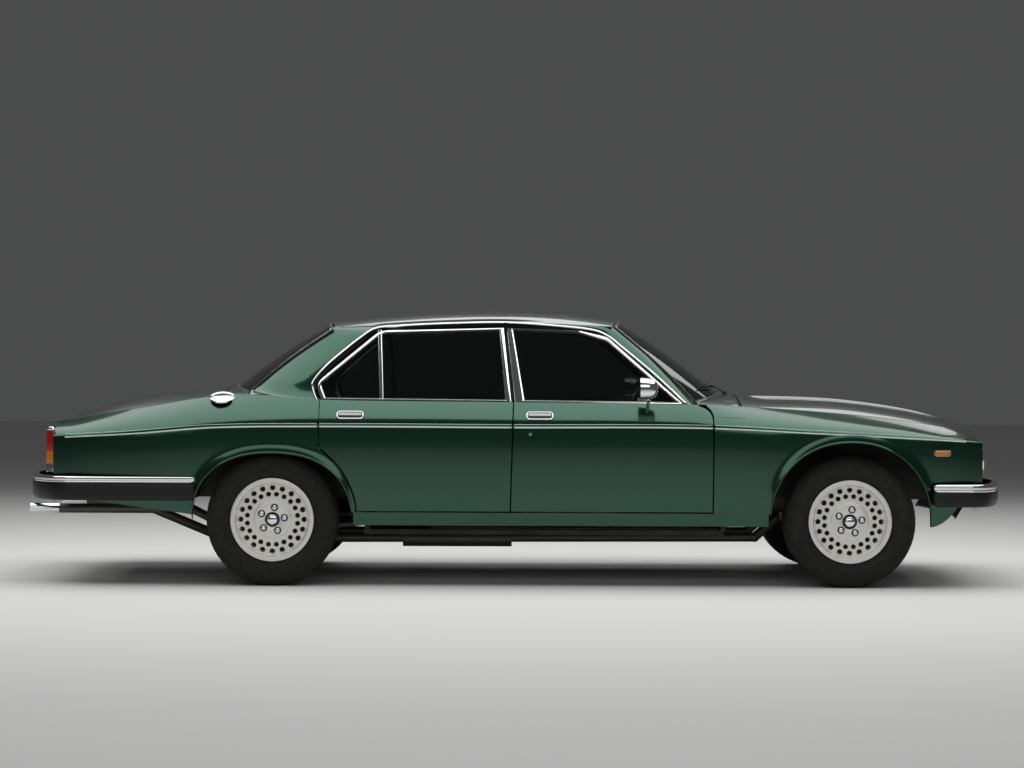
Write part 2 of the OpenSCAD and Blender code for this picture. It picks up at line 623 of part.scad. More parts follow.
module indicator_lamps() {
    color("orange") both_sides() {
        x = x_fa + 455;
        z = 671;
        slab(
            [for (u = steps(4)) [for (v = steps(2)) skin(x + 78 * (u - 0.5), z + 26 * (v - 0.5)) - [0, 9, 0]]],
            [for (u = steps(4)) [for (v = steps(2)) skin(x + 78 * (u - 0.5), z + 26 * (v - 0.5)) - [0, 0.5, 0]]]
        );
        translate([nose_x(half_w - 460) + 0.4, 330 - half_w, 525]) cube([22, 130, 36]);
    }
}
module tail_lamps() {
    color("red") both_sides() translate([0, 0, boot_foot_z - 4]) linear_extrude(height = 196)
        polygon(rounded([[x_tail_side - 0.5, 125 - half_w], [x_tail_side - 0.5, 260 - half_w],
            [x_tail - 8, 260 - half_w], [x_tail - 8, 140 - half_w]], [6, 0, 8, 28]));
}

// Bumpers with bright upper blades, carried on brackets
bumper_out = half_w - 1;
bumper_low = 405;
bumper_seam = 498;
bumper_top = 515;
module bumper_plan(x_end, x_corner, x_mid, dir) {
    w = bumper_out;
    difference() {
        polygon([for (q = rounded([[0, -w], [x_corner, -w], [x_mid - 40, 155 - w], [x_mid, 530 - w],
            [x_mid, w - 530], [x_mid - 40, w - 155], [x_corner, w], [0, w]],
            [0, 120, 120, 500, 500, 120, 120, 0], 6))
            [x_end + dir * q[0], q[1]]]);
        polygon([for (q = rounded([[-60, 11 - w], [x_corner - 20, 45 - w], [x_mid - 85, 185 - w],
            [x_mid - 46, 540 - w], [x_mid - 46, w - 540], [x_mid - 85, w - 185], [x_corner - 20, w - 45], [-60, w - 11]],
            [0, 90, 90, 500, 500, 90, 90, 0], 6)) [x_end + dir * q[0], q[1]]]);
    }
}
bumper_f = x_fa + 405;
bumper_r = x_ra - 378;
module front_plan() { bumper_plan(bumper_f, 265, x_front - bumper_f, 1); }
module rear_plan() { bumper_plan(bumper_r, 690, bumper_r - x_rear, -1); }
eye_r = 12.5;
module tow_eye(x, z) {
    translate([x, 0, z]) rotate([90, 0, 0]) difference() {
        union() {
            cylinder(r = 27, h = 20, center = true);
            translate([-27, 0, -10]) cube([54, 42, 20]);
        }
        cylinder(r = eye_r, h = 24, center = true);
    }
}
module front_bumper() {
    color("dimgray") {
        translate([0, 0, bumper_low]) linear_extrude(height = bumper_seam - bumper_low) front_plan();
        both_sides() {
            translate([x_horn + seat_gap, -460, 430]) cube([x_front - x_horn - 40, 50, 50]);
            translate([0, -435, 0]) tow_eye(x_fa + 700, 392);
        }
    }
}
module rear_bumper() {
    color("dimgray") {
        translate([0, 0, bumper_low + 17]) linear_extrude(height = 526 - bumper_low - 17) rear_plan();
        both_sides() {
            translate([x_rear + 40, -355, 430]) cube([x_ra - 1045 - x_rear - 40.3, 50, 28]);
            translate([0, -330, 0]) tow_eye(x_ra - 1150, 402);
        }
    }
}
module bumper_blades() {
    color("silver") {
        translate([0, 0, bumper_seam + seat_gap]) linear_extrude(height = 17) front_plan();
        translate([0, 0, 526 + seat_gap]) linear_extrude(height = 19) rear_plan();
    }
}

// Floor, sills, bulkheads and inner panels
floor_low = 250;
floor_top = 275;
boot_low = 430;
boot_top_z = 455;
floor_half = half_w - 195;
heel_x = x_ra + 450;
wall_r = 410;
module floor_pan() {
    color("gray") difference() {
        union() {
            across(-floor_half, floor_half) polygon([[x_fa - 620, floor_low], [x_fa - 535, 430], [x_fa - 560, 441],
                [x_fa - 636, floor_top], [heel_x + 25, floor_top], [heel_x + 25, boot_top_z],
                [x_ra - 1045, boot_top_z], [x_ra - 1045, boot_low], [heel_x, boot_low], [heel_x, floor_low]]);
            translate([heel_x + 330, -130, floor_low]) cube([x_fa - 960 - heel_x, 260, 165]);
        }
        translate([heel_x + 350, -108, floor_low - 50]) cube([x_fa - 1000 - heel_x, 216, 190]);
        both_sides() translate([x_ra - wall_r - 4, -half_w - 100, 200])
            cube([2 * wall_r + 8, 393.3, 400]);
    }
}
module sills() {
    color("darkgreen") both_sides() along(x_ra + rear_arch[0] + 8, x_fa - front_arch[0] - 6)
        polygon([[-floor_half, sill_h], [-floor_half, sill_top_h],
            [38 - half_w, sill_top_h], [55 - half_w, sill_h]]);
}
module bulkheads() {
    fire_x = x_fa - 565;
    scuttle = [for (u = steps(2)) [for (v = steps(12)) let (y = mix(-1, 1, v) * (screen_foot_half - 4))
        [mix(screen_foot_x(y) + 0.6, bonnet_rear - 8, u), y]]];
    deck = [for (u = steps(2)) [for (v = steps(12)) let (y = mix(-1, 1, v) * (screen_foot_half * 0.93 - 4))
        [mix(boot_front + 10, back_foot_x(y) - 0.6, u), y]]];
    color("gray") {
        along(fire_x, fire_x + 25) polygon(concat([[-floor_half, 441.5], [floor_half, 441.5]],
            [for (v = steps(12)) let (y = mix(1, -1, v) * floor_half) [y, top_z(fire_x + 25, y) - 15.7]]));
        along(x_ra - 250, x_ra - 235) polygon(concat([[-560, boot_top_z + 441], [560, boot_top_z + 441]],
            [for (v = steps(12)) let (y = mix(1, -1, v) * 560) [y, top_z(x_ra - 245, y) - 15.7]]));
        both_sides() {
            translate([x_a - 52, 150 - half_w, sill_top_h + seat_gap]) cube([85, 95, 502]);
            hinge_arms(front_hinge_x, half_w - 150, x_a - 52);
        }
        slab([for (r = scuttle) [for (q = r) [q[0], q[1], top_z(q[0], q[1])]]],
            [for (r = scuttle) [for (q = r) [q[0], q[1], top_z(q[0], q[1]) - 15]]]);
        slab([for (r = deck) [for (q = r) [q[0], q[1], top_z(q[0], q[1])]]],
            [for (r = deck) [for (q = r) [q[0], q[1], top_z(q[0], q[1]) - 15]]]);
        translate([x_ra + 190, -560, boot_top_z + seat_gap]) cube([15, 1120, 440]);
        translate([x_ra - 250, -560, boot_top_z + 440]) cube([455, 1120, 15]);
    }
}
module inner_wings() {
    color("gray") both_sides() {
        across(-450, -430) polygon([[x_fa - 539.7, 445], [x_fa - 150, 420], [x_fa - 100, 300], [x_fa + 100, 300],
            [x_fa + 150, 420], [x_horn, 430], [x_horn, 560], [x_fa + 640, 560], [x_fa + 640, 690], [x_fa + 440, 780],
            [x_fa + 40, 840], [x_fa - 539.7, 850]]);
        difference() {
            translate([x_ra, 58 - half_w, axle_z]) rotate([-90, 0, 0]) cylinder(r = wall_r, h = 235);
            translate([x_ra, 57 - half_w, axle_z]) rotate([-90, 0, 0]) cylinder(r = wall_r - 8, h = 228);
            translate([x_ra - 500, -half_w, -300]) cube([1000, 400, 300 + boot_low]);
        }
    }
}

// Cabin
module dashboard() {
    color("saddlebrown") {
        across(-635, 635) polygon([[x_fa - 900, 640], [x_fa - 860, 560], [x_fa - 700, 540], [x_fa - 565.3, 640],
            [x_fa - 565.3, 840], [x_fa - 700, 880], [x_fa - 860, 850], [x_fa - 905, 800]]);
        rod(column_p, column_p + 260 * column_u, 15);
    }
}
column_p = [x_fa - 1090, -370, 800];
column_tilt = 24;
column_u = [cos(column_tilt), 0, -sin(column_tilt)];
module steering_wheel() {
    color("black") translate(column_p) rotate([0, -90 + column_tilt, 0]) difference() {
        union() {
            rotate_extrude() translate([190, 0]) circle(r = 13);
            cylinder(r = 45, h = 34, center = true);
            for (a = [0, 120, 240]) rotate([0, 0, a]) translate([0, -14, -6]) cube([188, 28, 12]);
        }
        translate([0, 0, -30]) cylinder(r = 15 + run_gap, h = 38);
    }
}
module seat(y, w) {
    translate([0, y, 0]) {
        across(-w / 2, w / 2) polygon(rounded([[x_b + 60, 330], [x_b + 540, 350], [x_b + 560, 470], [x_b + 120, 440],
            [x_b - 20, 880], [x_b - 130, 870], [x_b - 20, 420]], [20, 40, 40, 30, 40, 40, 60]));
        across(-w / 2 + 130, w / 2 - 130)
            polygon([[x_b - 30, 872], [x_b - 90, 870], [x_b - 120, 985], [x_b - 60, 995]]);
        translate([x_b + 120, -w / 2 + 60, floor_top + seat_gap]) cube([380, w - 120, 70]);
    }
}
module front_seats() {
    color("tan") {
        seat(-382, 480);
        seat(382, 480);
    }
}
module rear_seat() {
    base_z = floor_top + seat_gap;
    color("tan") across(-560, 560) polygon(rounded([[heel_x + 26, base_z], [heel_x + 300, base_z],
        [heel_x + 320, 460], [heel_x - 60, 470], [x_ra + 340, 880], [x_ra + 220, 875], [x_ra + 320, 458], [heel_x + 26, 457]],
        [0, 10, 40, 30, 40, 20, 0, 0]));
}

// Engine and running gear
module engine() {
    color("gray") translate([x_fa - 440, -260, 340]) cube([800, 520, 440]);
}
king_in = 85;
king_r = 14;
king_y = front_track / 2 - king_in;
module front_suspension() {
    color("gray") {
        translate([x_fa - 70, -429.7, 240]) cube([140, 859.4, 99.7]);
        both_sides() {
            for (z = [axle_z - 119, axle_z + 119]) difference() {
                union() {
                    translate([x_fa, -king_y, z]) cylinder(r = 26, h = 22, center = true);
                    for (s = [-1, 1]) rod([x_fa, -king_y + 12, z],
                        [x_fa + s * 42, z > axle_z ? -455 : -428, z > axle_z ? z : 262], 9);
                }
                translate([x_fa, -king_y, z]) cylinder(r = king_r + run_gap, h = 40, center = true);
            }
            translate([x_fa - 60, -470, axle_z + 95]) cube([120, 19.7, 48]);
        }
    }
}
module knuckle(left) {
    color("gray") on_left(left) translate([x_fa, -king_y, axle_z]) {
        cylinder(r = king_r, h = 276, center = true);
        cylinder(r = 28, h = 208, center = true);
        rotate([90, 0, 0]) cylinder(r = 45, h = 36);
        rotate([90, 0, 0]) cylinder(r = spindle_r, h = king_in + 60);
        translate([-150, -12, -40]) cube([140, 24, 24]);
    }
}
module knuckle_right() { knuckle(false); }
module knuckle_left() { knuckle(true); }
module rear_axle() {
    color("gray") {
        translate([x_ra - 110, -130, 240]) cube([220, 260, 165]);
        translate([x_ra - 60, -100, 400]) cube([120, 200, 29.7]);
        both_sides() {
            y = -rear_track / 2;
            rod([x_ra, -120, axle_z], [x_ra, y + 100, axle_z], 24);
            translate([x_ra, y + 110, axle_z]) rotate([90, 0, 0]) cylinder(r = 60, h = 58);
            rod([x_ra, y + 60, axle_z], [x_ra, y - 60, axle_z], spindle_r);
            rod([x_ra, -125, 255], [x_ra, y + 90, 262], 20);
            translate([x_ra - 29, y + 64, 244]) cube([58, 38, 66]);
            rod([x_ra, y + 90, 262], [heel_x - 12, y + 190, 300], 14);
        }
    }
}
module exhaust() {
    color("silver") both_sides() {
        pts = [[x_fa - 300, -230, 320], [x_fa - 420, -240, 215], [x_ra - 300, -300, 205], [x_ra - 640, -430, 360],
            [x_rear + 8, -430, 360]];
        difference() {
            union() {
                for (i = [0 : 3]) rod(pts[i], pts[i + 1], 24);
                for (i = [1 : 3]) translate(pts[i]) sphere(r = 25.5);
                rod([x_b - 560, -277, 205], [x_b, -268, 205], 42);
                translate([x_b - 300, -275, 215]) cube([40, 20, floor_low - 215 - seat_gap]);
            }
            rod([x_rear - 10, -430, 360], [x_rear + 120, -430, 360], 20);
        }
    }
}

// Wheels: pierced discs on five nuts, with their tyres
module wheel() {
    b = spindle_r + run_gap;
    f = rim_d / 2;
    w = rim_w / 2;
    difference() {
        rotate_extrude() polygon([[f, w], [f, w - 8.7], [f - 16, w - 8.7], [f - 16, 45], [f - 34, 25],
            [f - 34, -35], [f - 16, -55], [f - 16, 8.7 - w], [f, 8.7 - w], [f, -w], [f - 6, -w], [f - 24, -70], [f - 24, -58],
            [f - 42, -38], [f - 42, 28], [f - 28, 44], [100, 40], [80, 20], [75, -25], [140, -25], [140, -45],
            [b, -45], [b, 64], [80, 64], [92, 58], [f - 30, 56], [f - 26, 64], [f - 10, w]]);
        for (i = [0 : hole_count - 1]) {
            rotate([0, 0, i * 360 / hole_count]) translate([f - 49, 0, 30]) cylinder(r = 12, h = 40, $fn = 24);
            rotate([0, 0, (i + 0.5) * 360 / hole_count]) translate([f - 80, 0, 30])
                cylinder(r = 10.5, h = 40, $fn = 24);
        }
    }
    for (i = [0 : 4]) rotate([0, 0, 90 + i * 72]) translate([nut_pcd / 2, 0, 63])
        cylinder(r = 12, h = 16, $fn = 24);
    difference() {
        translate([0, 0, 63]) cylinder(r = 28, h = 14);
        translate([0, 0, 60]) cylinder(r = b, h = 8);
    }
}
module tyre() {
    f = rim_d / 2 + seat_gap;
    s = rim_w / 2 - 9.2;
    w = tyre_w / 2;
    r = tyre_d / 2;
    rotate_extrude() polygon([[f - 16, -s], [f, -s], [f + 8, -w + 18], [f + 34, -w + 4], [f + 58, -w],
        [r - 36, -w + 3], [r - 14, -w + 14], [r - 3, -w + 30], [r, -w + 52], [r, w - 52], [r - 3, w - 30], [r - 14, w - 14],
        [r - 36, w - 3], [f + 58, w], [f + 34, w - 4], [f + 8, w - 18], [f, s], [f - 16, s]]);
}
module at_wheel(front, left) {
    on_left(left) translate([front ? x_fa : x_ra, -(front ? front_track : rear_track) / 2, axle_z]) rotate([90, 0, 0])
        children();
}
module wheel_front_right() { color("silver") at_wheel(true, false) wheel(); }
module wheel_front_left() { color("silver") at_wheel(true, true) wheel(); }
module wheel_rear_right() { color("silver") at_wheel(false, false) wheel(); }
module wheel_rear_left() { color("silver") at_wheel(false, true) wheel(); }
module tyre_front_right() { color("black") at_wheel(true, false) tyre(); }
module tyre_front_left() { color("black") at_wheel(true, true) tyre(); }
module tyre_rear_right() { color("black") at_wheel(false, false) tyre(); }
module tyre_rear_left() { color("black") at_wheel(false, true) tyre(); }

// Parts shown
floor_pan();
sills();
front_wings();
rear_wings();
side_frames();
roof();
nose_panel();
tail_panel();
bulkheads();
inner_wings();
windscreen();
rear_window();
grille();
headlamps();
indicator_lamps();
tail_lamps();
front_bumper();
rear_bumper();
bumper_blades();
dashboard();
front_seats();
rear_seat();
engine();
front_suspension();
rear_axle();
exhaust();
bonnet();
boot_lid();
door_front_right();
door_front_left();
door_rear_right();
door_rear_left();
door_frame_front_right();
door_frame_front_left();
door_frame_rear_right();
door_frame_rear_left();
door_glass_front_right();
door_glass_front_left();
door_glass_rear_right();
door_glass_rear_left();
knuckle_right();
knuckle_left();
wheel_front_right();
wheel_front_left();
wheel_rear_right();
wheel_rear_left();
tyre_front_right();
tyre_front_left();
tyre_rear_right();
tyre_rear_left();
steering_wheel();
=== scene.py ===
# Four-door luxury sedan: paint, bright trim, glass, wheels and cabin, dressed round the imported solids.
from math import atan2, cos, pi, radians, sin, sqrt, tan

import bmesh
import bpy
from mathutils import Matrix, Vector


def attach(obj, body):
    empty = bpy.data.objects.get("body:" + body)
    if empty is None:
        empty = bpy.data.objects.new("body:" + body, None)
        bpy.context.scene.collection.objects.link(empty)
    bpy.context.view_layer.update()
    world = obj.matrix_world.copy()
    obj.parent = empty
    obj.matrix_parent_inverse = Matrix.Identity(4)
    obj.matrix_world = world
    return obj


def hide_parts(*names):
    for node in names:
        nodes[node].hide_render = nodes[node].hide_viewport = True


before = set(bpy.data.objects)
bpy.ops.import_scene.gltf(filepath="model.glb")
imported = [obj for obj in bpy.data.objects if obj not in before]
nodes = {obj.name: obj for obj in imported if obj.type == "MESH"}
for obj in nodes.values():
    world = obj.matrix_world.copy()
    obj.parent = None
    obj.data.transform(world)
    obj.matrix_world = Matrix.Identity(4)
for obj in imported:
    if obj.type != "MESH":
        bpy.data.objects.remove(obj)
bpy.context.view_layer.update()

# Ends and sides of the car, and directions of the frame. Outward is from the right-hand side.
CORNERS = [(end, side) for end in ("front", "rear") for side in ("right", "left")]
UP, FORWARD, OUTWARD = Vector((0, 0, 1)), Vector((1, 0, 0)), Vector((0, -1, 0))

# Sizes of the body, in millimetres, in the frame of the solids
x_fa, x_ra, axle_z = 1659.5, -1205.5, 328.0
half_w, belt_h, waist_h, sill_h, sill_top = 885.0, 915.0, 790.0, 303.0, 367.0
x_nose, x_nose_side = x_fa + 725, x_fa + 665
x_tail, x_tail_side = x_ra - 1130, x_ra - 1095
x_front, x_rear = 2479.5, -2479.5
x_a, x_b, x_c = 977.5, -18.5, x_ra + 230
roof_h, gutter_z, belt_half = 1378.0, 1312.0, half_w - 115
window_top, gutter_mid = gutter_z - 23, x_b - 30
tuck_under, shut_gap = 55.0, 7.0
lean_tan, lean_cos = tan(radians(24.5)), cos(radians(24.5))
front_arch, rear_arch = (400, 393, 2.12), (395, 331, 2.3)
door_arc_r, door_corner_r, door_lip = 426.0, 66.0, 95.0
roof_half = belt_half - (gutter_z - belt_h) * lean_tan + 1
bonnet_rear, boot_front, boot_edge, boot_foot_z = x_fa - 530, x_ra - 262, x_ra - 1100, sill_h + 271

half_width_line = [
    (x_tail_side, half_w - 118), (x_ra - 950, half_w - 72), (x_ra - 500, half_w - 20), (x_ra, half_w - 3),
    (x_ra + 900, half_w), (x_fa - 800, half_w), (x_fa, half_w - 5), (x_fa + 350, half_w - 38),
    (x_fa + 560, half_w - 78), (x_nose_side, half_w - 120),
]
waist_line = [
    (x_tail_side, waist_h - 62), (x_ra - 680, waist_h - 38), (x_ra - 300, waist_h - 7), (x_c, waist_h + 1),
    (x_b, waist_h), (x_a - 60, waist_h + 1), (x_fa - 160, waist_h - 24), (x_fa + 430, waist_h - 54),
    (x_nose_side, waist_h - 68),
]
shoulder_line = [
    (x_tail_side, belt_h - 106), (x_ra - 1000, belt_h - 92), (x_ra - 670, belt_h - 38), (x_ra - 320, belt_h + 20),
    (x_ra - 150, belt_h + 31), (x_ra + 50, belt_h + 23), (x_c, belt_h + 8), (x_b, belt_h),
    (x_a - 110, belt_h - 8), (x_fa - 550, belt_h - 18), (x_fa - 155, belt_h - 44), (x_fa + 235, belt_h - 81),
    (x_fa + 530, belt_h - 127), (x_nose_side, belt_h - 163),
]
shoulder_width_line = [
    (x_tail_side, half_w - 250), (x_ra - 670, half_w - 195), (x_ra - 300, half_w - 168), (x_ra, half_w - 130),
    (x_c, half_w - 98), (x_b, half_w - 92), (x_a - 110, half_w - 98), (x_fa - 550, half_w - 150),
    (x_fa - 155, half_w - 182), (x_fa + 300, half_w - 215), (x_nose_side, half_w - 275),
]
crown_line = [
    (x_tail, belt_h - 108), (x_ra - 1100, belt_h - 88), (x_ra - 770, belt_h + 14), (x_ra - 420, belt_h + 60),
    (x_ra - 250, belt_h + 75), (x_fa - 520, belt_h + 42), (x_fa - 75, belt_h + 31), (x_fa + 233, belt_h - 4),
    (x_fa + 440, belt_h - 44), (x_fa + 645, belt_h - 105), (x_nose, belt_h - 134),
]


def mix(a, b, t):
    return a + (b - a) * t


def clamp(t, low=0.0, high=1.0):
    return max(low, min(high, t))


def ease(t):
    t = clamp(t)
    return t * t * (3 - 2 * t)


# Surfaces of the body, the same as those of the solids
def line_at(x, p):
    i = 0
    while i < len(p) - 2 and x >= p[i + 1][0]:
        i += 1

    def slope(k):
        a, b = p[max(k - 1, 0)], p[min(k + 1, len(p) - 1)]
        return (b[1] - a[1]) / (b[0] - a[0])

    h = p[i + 1][0] - p[i][0]
    t = clamp((x - p[i][0]) / h)
    start = p[i][1] * (2 * t**3 - 3 * t * t + 1) + slope(i) * h * (t**3 - 2 * t * t + t)
    return start + p[i + 1][1] * (3 * t * t - 2 * t**3) + slope(i + 1) * h * (t**3 - t * t)


def waist_z(x):
    return line_at(x, waist_line)


def shoulder_z(x):
    return line_at(x, shoulder_line)


def shoulder_y(x):
    return line_at(x, shoulder_width_line)


def side_y(x, z):
    a, zw = line_at(x, half_width_line), waist_z(x)
    if z < zw:
        return a - tuck_under * ((zw - z) / (waist_h - sill_h)) ** 2.6
    rise = shoulder_z(x) - zw
    return a - (a - shoulder_y(x)) * min(1.05, (z - zw) / rise) ** 1.5


def skin(x, z, out=0.0):
    return Vector((x, -side_y(x, z) - out, z))


def top_z(x, y):
    zs, ys = shoulder_z(x), shoulder_y(x)
    return zs + (line_at(x, crown_line) - zs) * (1 - min(1.0, abs(y) / ys) ** 2.2)


def arch_z(x, x_axle, arch):
    s = min(1.0, abs(x - x_axle) / arch[0])
    return axle_z + arch[1] * (1 - s ** arch[2]) ** (1 / arch[2])


def gutter_at(x):
    return gutter_z - (0.00006 if x > gutter_mid else 0.00005) * (x - gutter_mid) ** 2


def roof_z(x, y):
    g = gutter_at(x)
    c = roof_h - (0.00013 if x > gutter_mid else 0.000067) * (x - gutter_mid) ** 2
    return g + (c - g) * (1 - min(1.0, abs(y) / roof_half) ** 2.4)


def roof_front(y):
    return x_fa - 1131 - 45 * (y / roof_half) ** 2


def roof_rear(y):
    return x_ra + 250 + 40 * (y / roof_half) ** 2


screen_foot_half, screen_head_half = half_w - 195, roof_half - 29


def screen_foot_x(y):
    return x_fa - 598 - 165 * (abs(y) / screen_foot_half) ** 2.2


def back_foot_x(y):
    return x_ra - 246 + 130 * (abs(y) / screen_foot_half) ** 2.2


def lean(x, z, depth=0.0):
    """Point on the leaning plane of the right-hand side windows, seen at x and z from the side."""
    return Vector((x, -(belt_half - (z - belt_h) * lean_tan) + depth / lean_cos, z))


# Mesh helpers
shift = Matrix.Translation


def spun(degrees, axis):
    return Matrix.Rotation(radians(degrees), 4, axis)


def tilted(x, y, z, degrees):
    return shift((x, y, z)) @ spun(degrees, "Y")


def polar(r, a, h):
    return Vector((r * cos(a), r * sin(a), h))


def spread(a, b, n):
    return [mix(a, b, i / n) for i in range(n + 1)]


def grid(bm, nu, nv, place):
    made = bmesh.ops.create_grid(bm, x_segments=nu, y_segments=nv, size=0.5)["verts"]
    for v in made:
        v.co = place(v.co.x + 0.5, v.co.y + 0.5)
    return made


def faces_of(verts):
    return list(dict.fromkeys(f for v in verts for f in v.link_faces))


def aim(bm, verts, out):
    """Turns a sheet so that its faces point the way of out."""
    faces = faces_of(verts)
    bm.normal_update()
    if sum(f.normal.dot(out) * f.calc_area() for f in faces) < 0:
        bmesh.ops.reverse_faces(bm, faces=faces)


def slab(bm, nu, nv, outer, inner):
    """Closed shell between two sheets of the same mesh."""
    verts = grid(bm, nu, nv, outer) + grid(bm, nu, nv, inner)
    near = set(verts)
    rim = [e for e in bm.edges if e.is_boundary and e.verts[0] in near]
    bmesh.ops.bridge_loops(bm, edges=rim)
    bmesh.ops.recalc_face_normals(bm, faces=faces_of(verts))


def sweep(bm, path, profile, out, closed=False):
    """Draws a closed outline along a path. The outline's pairs go sideways and towards out."""
    n, k = len(path), len(profile)
    rails = []
    for i, p in enumerate(path):
        a = path[i - 1] if i or closed else p
        b = path[(i + 1) % n] if i < n - 1 or closed else p
        along = (b - a).normalized()
        side = along.cross(out).normalized()
        rails.append((p, side, side.cross(along).normalized()))
    count = n if closed else n - 1

    def place(u, v):
        p, side, rise = rails[round(u * count) % n]
        a, b = profile[round(v * k) % k]
        return p + side * a + rise * b

    verts = grid(bm, count, k, place)
    bmesh.ops.remove_doubles(bm, verts=verts, dist=0.001)
    verts = [v for v in verts if v.is_valid]
    if not closed:
        rim = [e for e in bm.edges if e.is_boundary and e.verts[0] in set(verts)]
        bmesh.ops.holes_fill(bm, edges=rim, sides=k)
    bmesh.ops.recalc_face_normals(bm, faces=faces_of(verts))
    return verts


def turned(bm, profile, steps, matrix, closed=False):
    """Turns an outline of radius and height pairs about its axis."""
    made = [bm.verts.new((r, 0, h)) for r, h in profile]
    pairs = list(zip(made, made[1:])) + ([(made[-1], made[0])] if closed else [])
    edges = [bm.edges.new(p) for p in pairs]
    before = set(bm.verts) - set(made)
    bmesh.ops.spin(bm, geom=made + edges, cent=(0, 0, 0), axis=(0, 0, 1), angle=2 * pi, steps=steps, use_merge=True)
    verts = [v for v in bm.verts if v not in before]
    bmesh.ops.remove_doubles(bm, verts=verts, dist=0.0005)
    verts = [v for v in bm.verts if v not in before]
    bmesh.ops.recalc_face_normals(bm, faces=faces_of(verts))
    bmesh.ops.transform(bm, matrix=matrix, verts=verts)


def oval(w, h, n=12, power=2.0):
    """Closed rounded outline, w by h."""
    points = []
    for i in range(n):
        c, s = cos(2 * pi * i / n), sin(2 * pi * i / n)
        points.append((w / 2 * abs(c) ** (2 / power) * (1 if c > 0 else -1),
                       h / 2 * abs(s) ** (2 / power) * (1 if s > 0 else -1)))
    return points


def rounded(p, r, n=5):
    """Polygon with each corner rounded to its own radius."""
    out = []
    for i, q in enumerate(p):
        q = Vector(q)
        u = (q - Vector(p[i - 1])).normalized()
        v = (Vector(p[(i + 1) % len(p)]) - q).normalized()
        if not r[i]:
            out.append(q)
            continue
        turn = atan2(u.x * v.y - u.y * v.x, u.dot(v))
        side = 1 if turn > 0 else -1
        c = q - u * r[i] * tan(abs(turn) / 2) + Vector((-u.y, u.x)) * side * r[i]
        arm = Vector((u.y, -u.x)) * side * r[i]
        for k in range(n + 1):
            w = turn * k / n
            out.append(c + Vector((arm.x * cos(w) - arm.y * sin(w), arm.x * sin(w) + arm.y * cos(w))))
    return out


def smooth_path(points, steps=6):
    """Smooth curve through points."""
    out = []
    for i in range(len(points) - 1):
        p = [Vector(points[clamp(i + k, 0, len(points) - 1)]) for k in (-1, 0, 1, 2)]
        for j in range(steps):
            t = j / steps
            out.append(0.5 * (2 * p[1] + (p[2] - p[0]) * t + (2 * p[0] - 5 * p[1] + 4 * p[2] - p[3]) * t * t
                              + (3 * p[1] - p[0] - 3 * p[2] + p[3]) * t**3))
    return out + [Vector(points[-1])]


def block(bm, size, matrix, round_off=0.0, segments=2):
    """Block with its edges rounded off."""
    made = bmesh.ops.create_cube(bm, size=1.0)["verts"]
    bmesh.ops.scale(bm, vec=size, verts=made)
    if round_off:
        edges = list(dict.fromkeys(e for v in made for e in v.link_edges))
        made = bmesh.ops.bevel(bm, geom=edges, offset=round_off, offset_type="OFFSET", segments=segments,
                               profile=0.5, affect="EDGES", material=-1)["verts"]
    bmesh.ops.transform(bm, matrix=matrix, verts=made)


def mirrored(bm):
    """Adds the left-hand copy of what is on the right."""
    geom = bm.verts[:] + bm.edges[:] + bm.faces[:]
    copy = bmesh.ops.duplicate(bm, geom=geom)["geom"]
    bmesh.ops.scale(bm, vec=(1, -1, 1), verts=[g for g in copy if isinstance(g, bmesh.types.BMVert)])
    bmesh.ops.reverse_faces(bm, faces=[g for g in copy if isinstance(g, bmesh.types.BMFace)])


def to_left(bm):
    bmesh.ops.scale(bm, vec=(1, -1, 1), verts=bm.verts)
    bmesh.ops.reverse_faces(bm, faces=bm.faces)


def piece(name, bm, mat, body, slot, stands_for=(), wall=0.0, soften=0.0, sharp=35):
    """Makes the mesh an object of the car: its finish, its body and the solids it stands for."""
    bmesh.ops.scale(bm, vec=(0.001, 0.001, 0.001), verts=bm.verts)
    mesh = bpy.data.meshes.new(name)
    bm.to_mesh(mesh)
    bm.free()
    mesh.shade_smooth()
    mesh.set_sharp_from_angle(angle=radians(sharp))
    mesh.materials.append(mat)
    obj = bpy.data.objects.new(name, mesh)
    bpy.context.scene.collection.objects.link(obj)
    if wall:
        mod = obj.modifiers.new("wall", "SOLIDIFY")
        mod.thickness, mod.offset, mod.use_even_offset = wall / 1000, -1, True
    if soften:
        mod = obj.modifiers.new("soften", "BEVEL")
        mod.width, mod.segments, mod.limit_method, mod.angle_limit = soften / 1000, 2, "ANGLE", radians(50)
        mod.harden_normals = True
    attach(obj, body)
    if stands_for:
        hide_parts(*stands_for)
    return obj


def fit_side(side, body, parts, **options):
    """Makes one side's pieces from meshes drawn on the right: name, mesh, finish, slot and solids."""
    for name, bm, mat, slot, *stands_for in parts:
        if side == "left":
            to_left(bm)
        piece(name, bm, mat, body, slot, stands_for, **options)


# Finishes
def finish(name, colour, metallic, rough, **sockets):
    mat = bpy.data.materials.new(name)
    mat.use_nodes = True
    shader = mat.node_tree.nodes["Principled BSDF"]
    values = {"Base Color": (*colour, 1), "Metallic": metallic, "Roughness": rough}
    values.update({k.replace("_", " "): v for k, v in sockets.items()})
    for socket, value in values.items():
        shader.inputs[socket].default_value = value
    mat.diffuse_color = (*colour, 1)
    return mat


def texture(mat, kind, scale, **sockets):
    tree = mat.node_tree
    tex = tree.nodes.new("ShaderNodeTex" + kind)
    coord = tree.nodes.new("ShaderNodeTexCoord")
    mapping = tree.nodes.new("ShaderNodeMapping")
    mapping.inputs["Scale"].default_value = scale if isinstance(scale, tuple) else (scale,) * 3
    tree.links.new(coord.outputs["Object"], mapping.inputs["Vector"])
    tree.links.new(mapping.outputs["Vector"], tex.inputs["Vector"])
    tex.inputs["Scale"].default_value = 1.0
    for socket, value in sockets.items():
        tex.inputs[socket.replace("_", " ")].default_value = value
    return tex


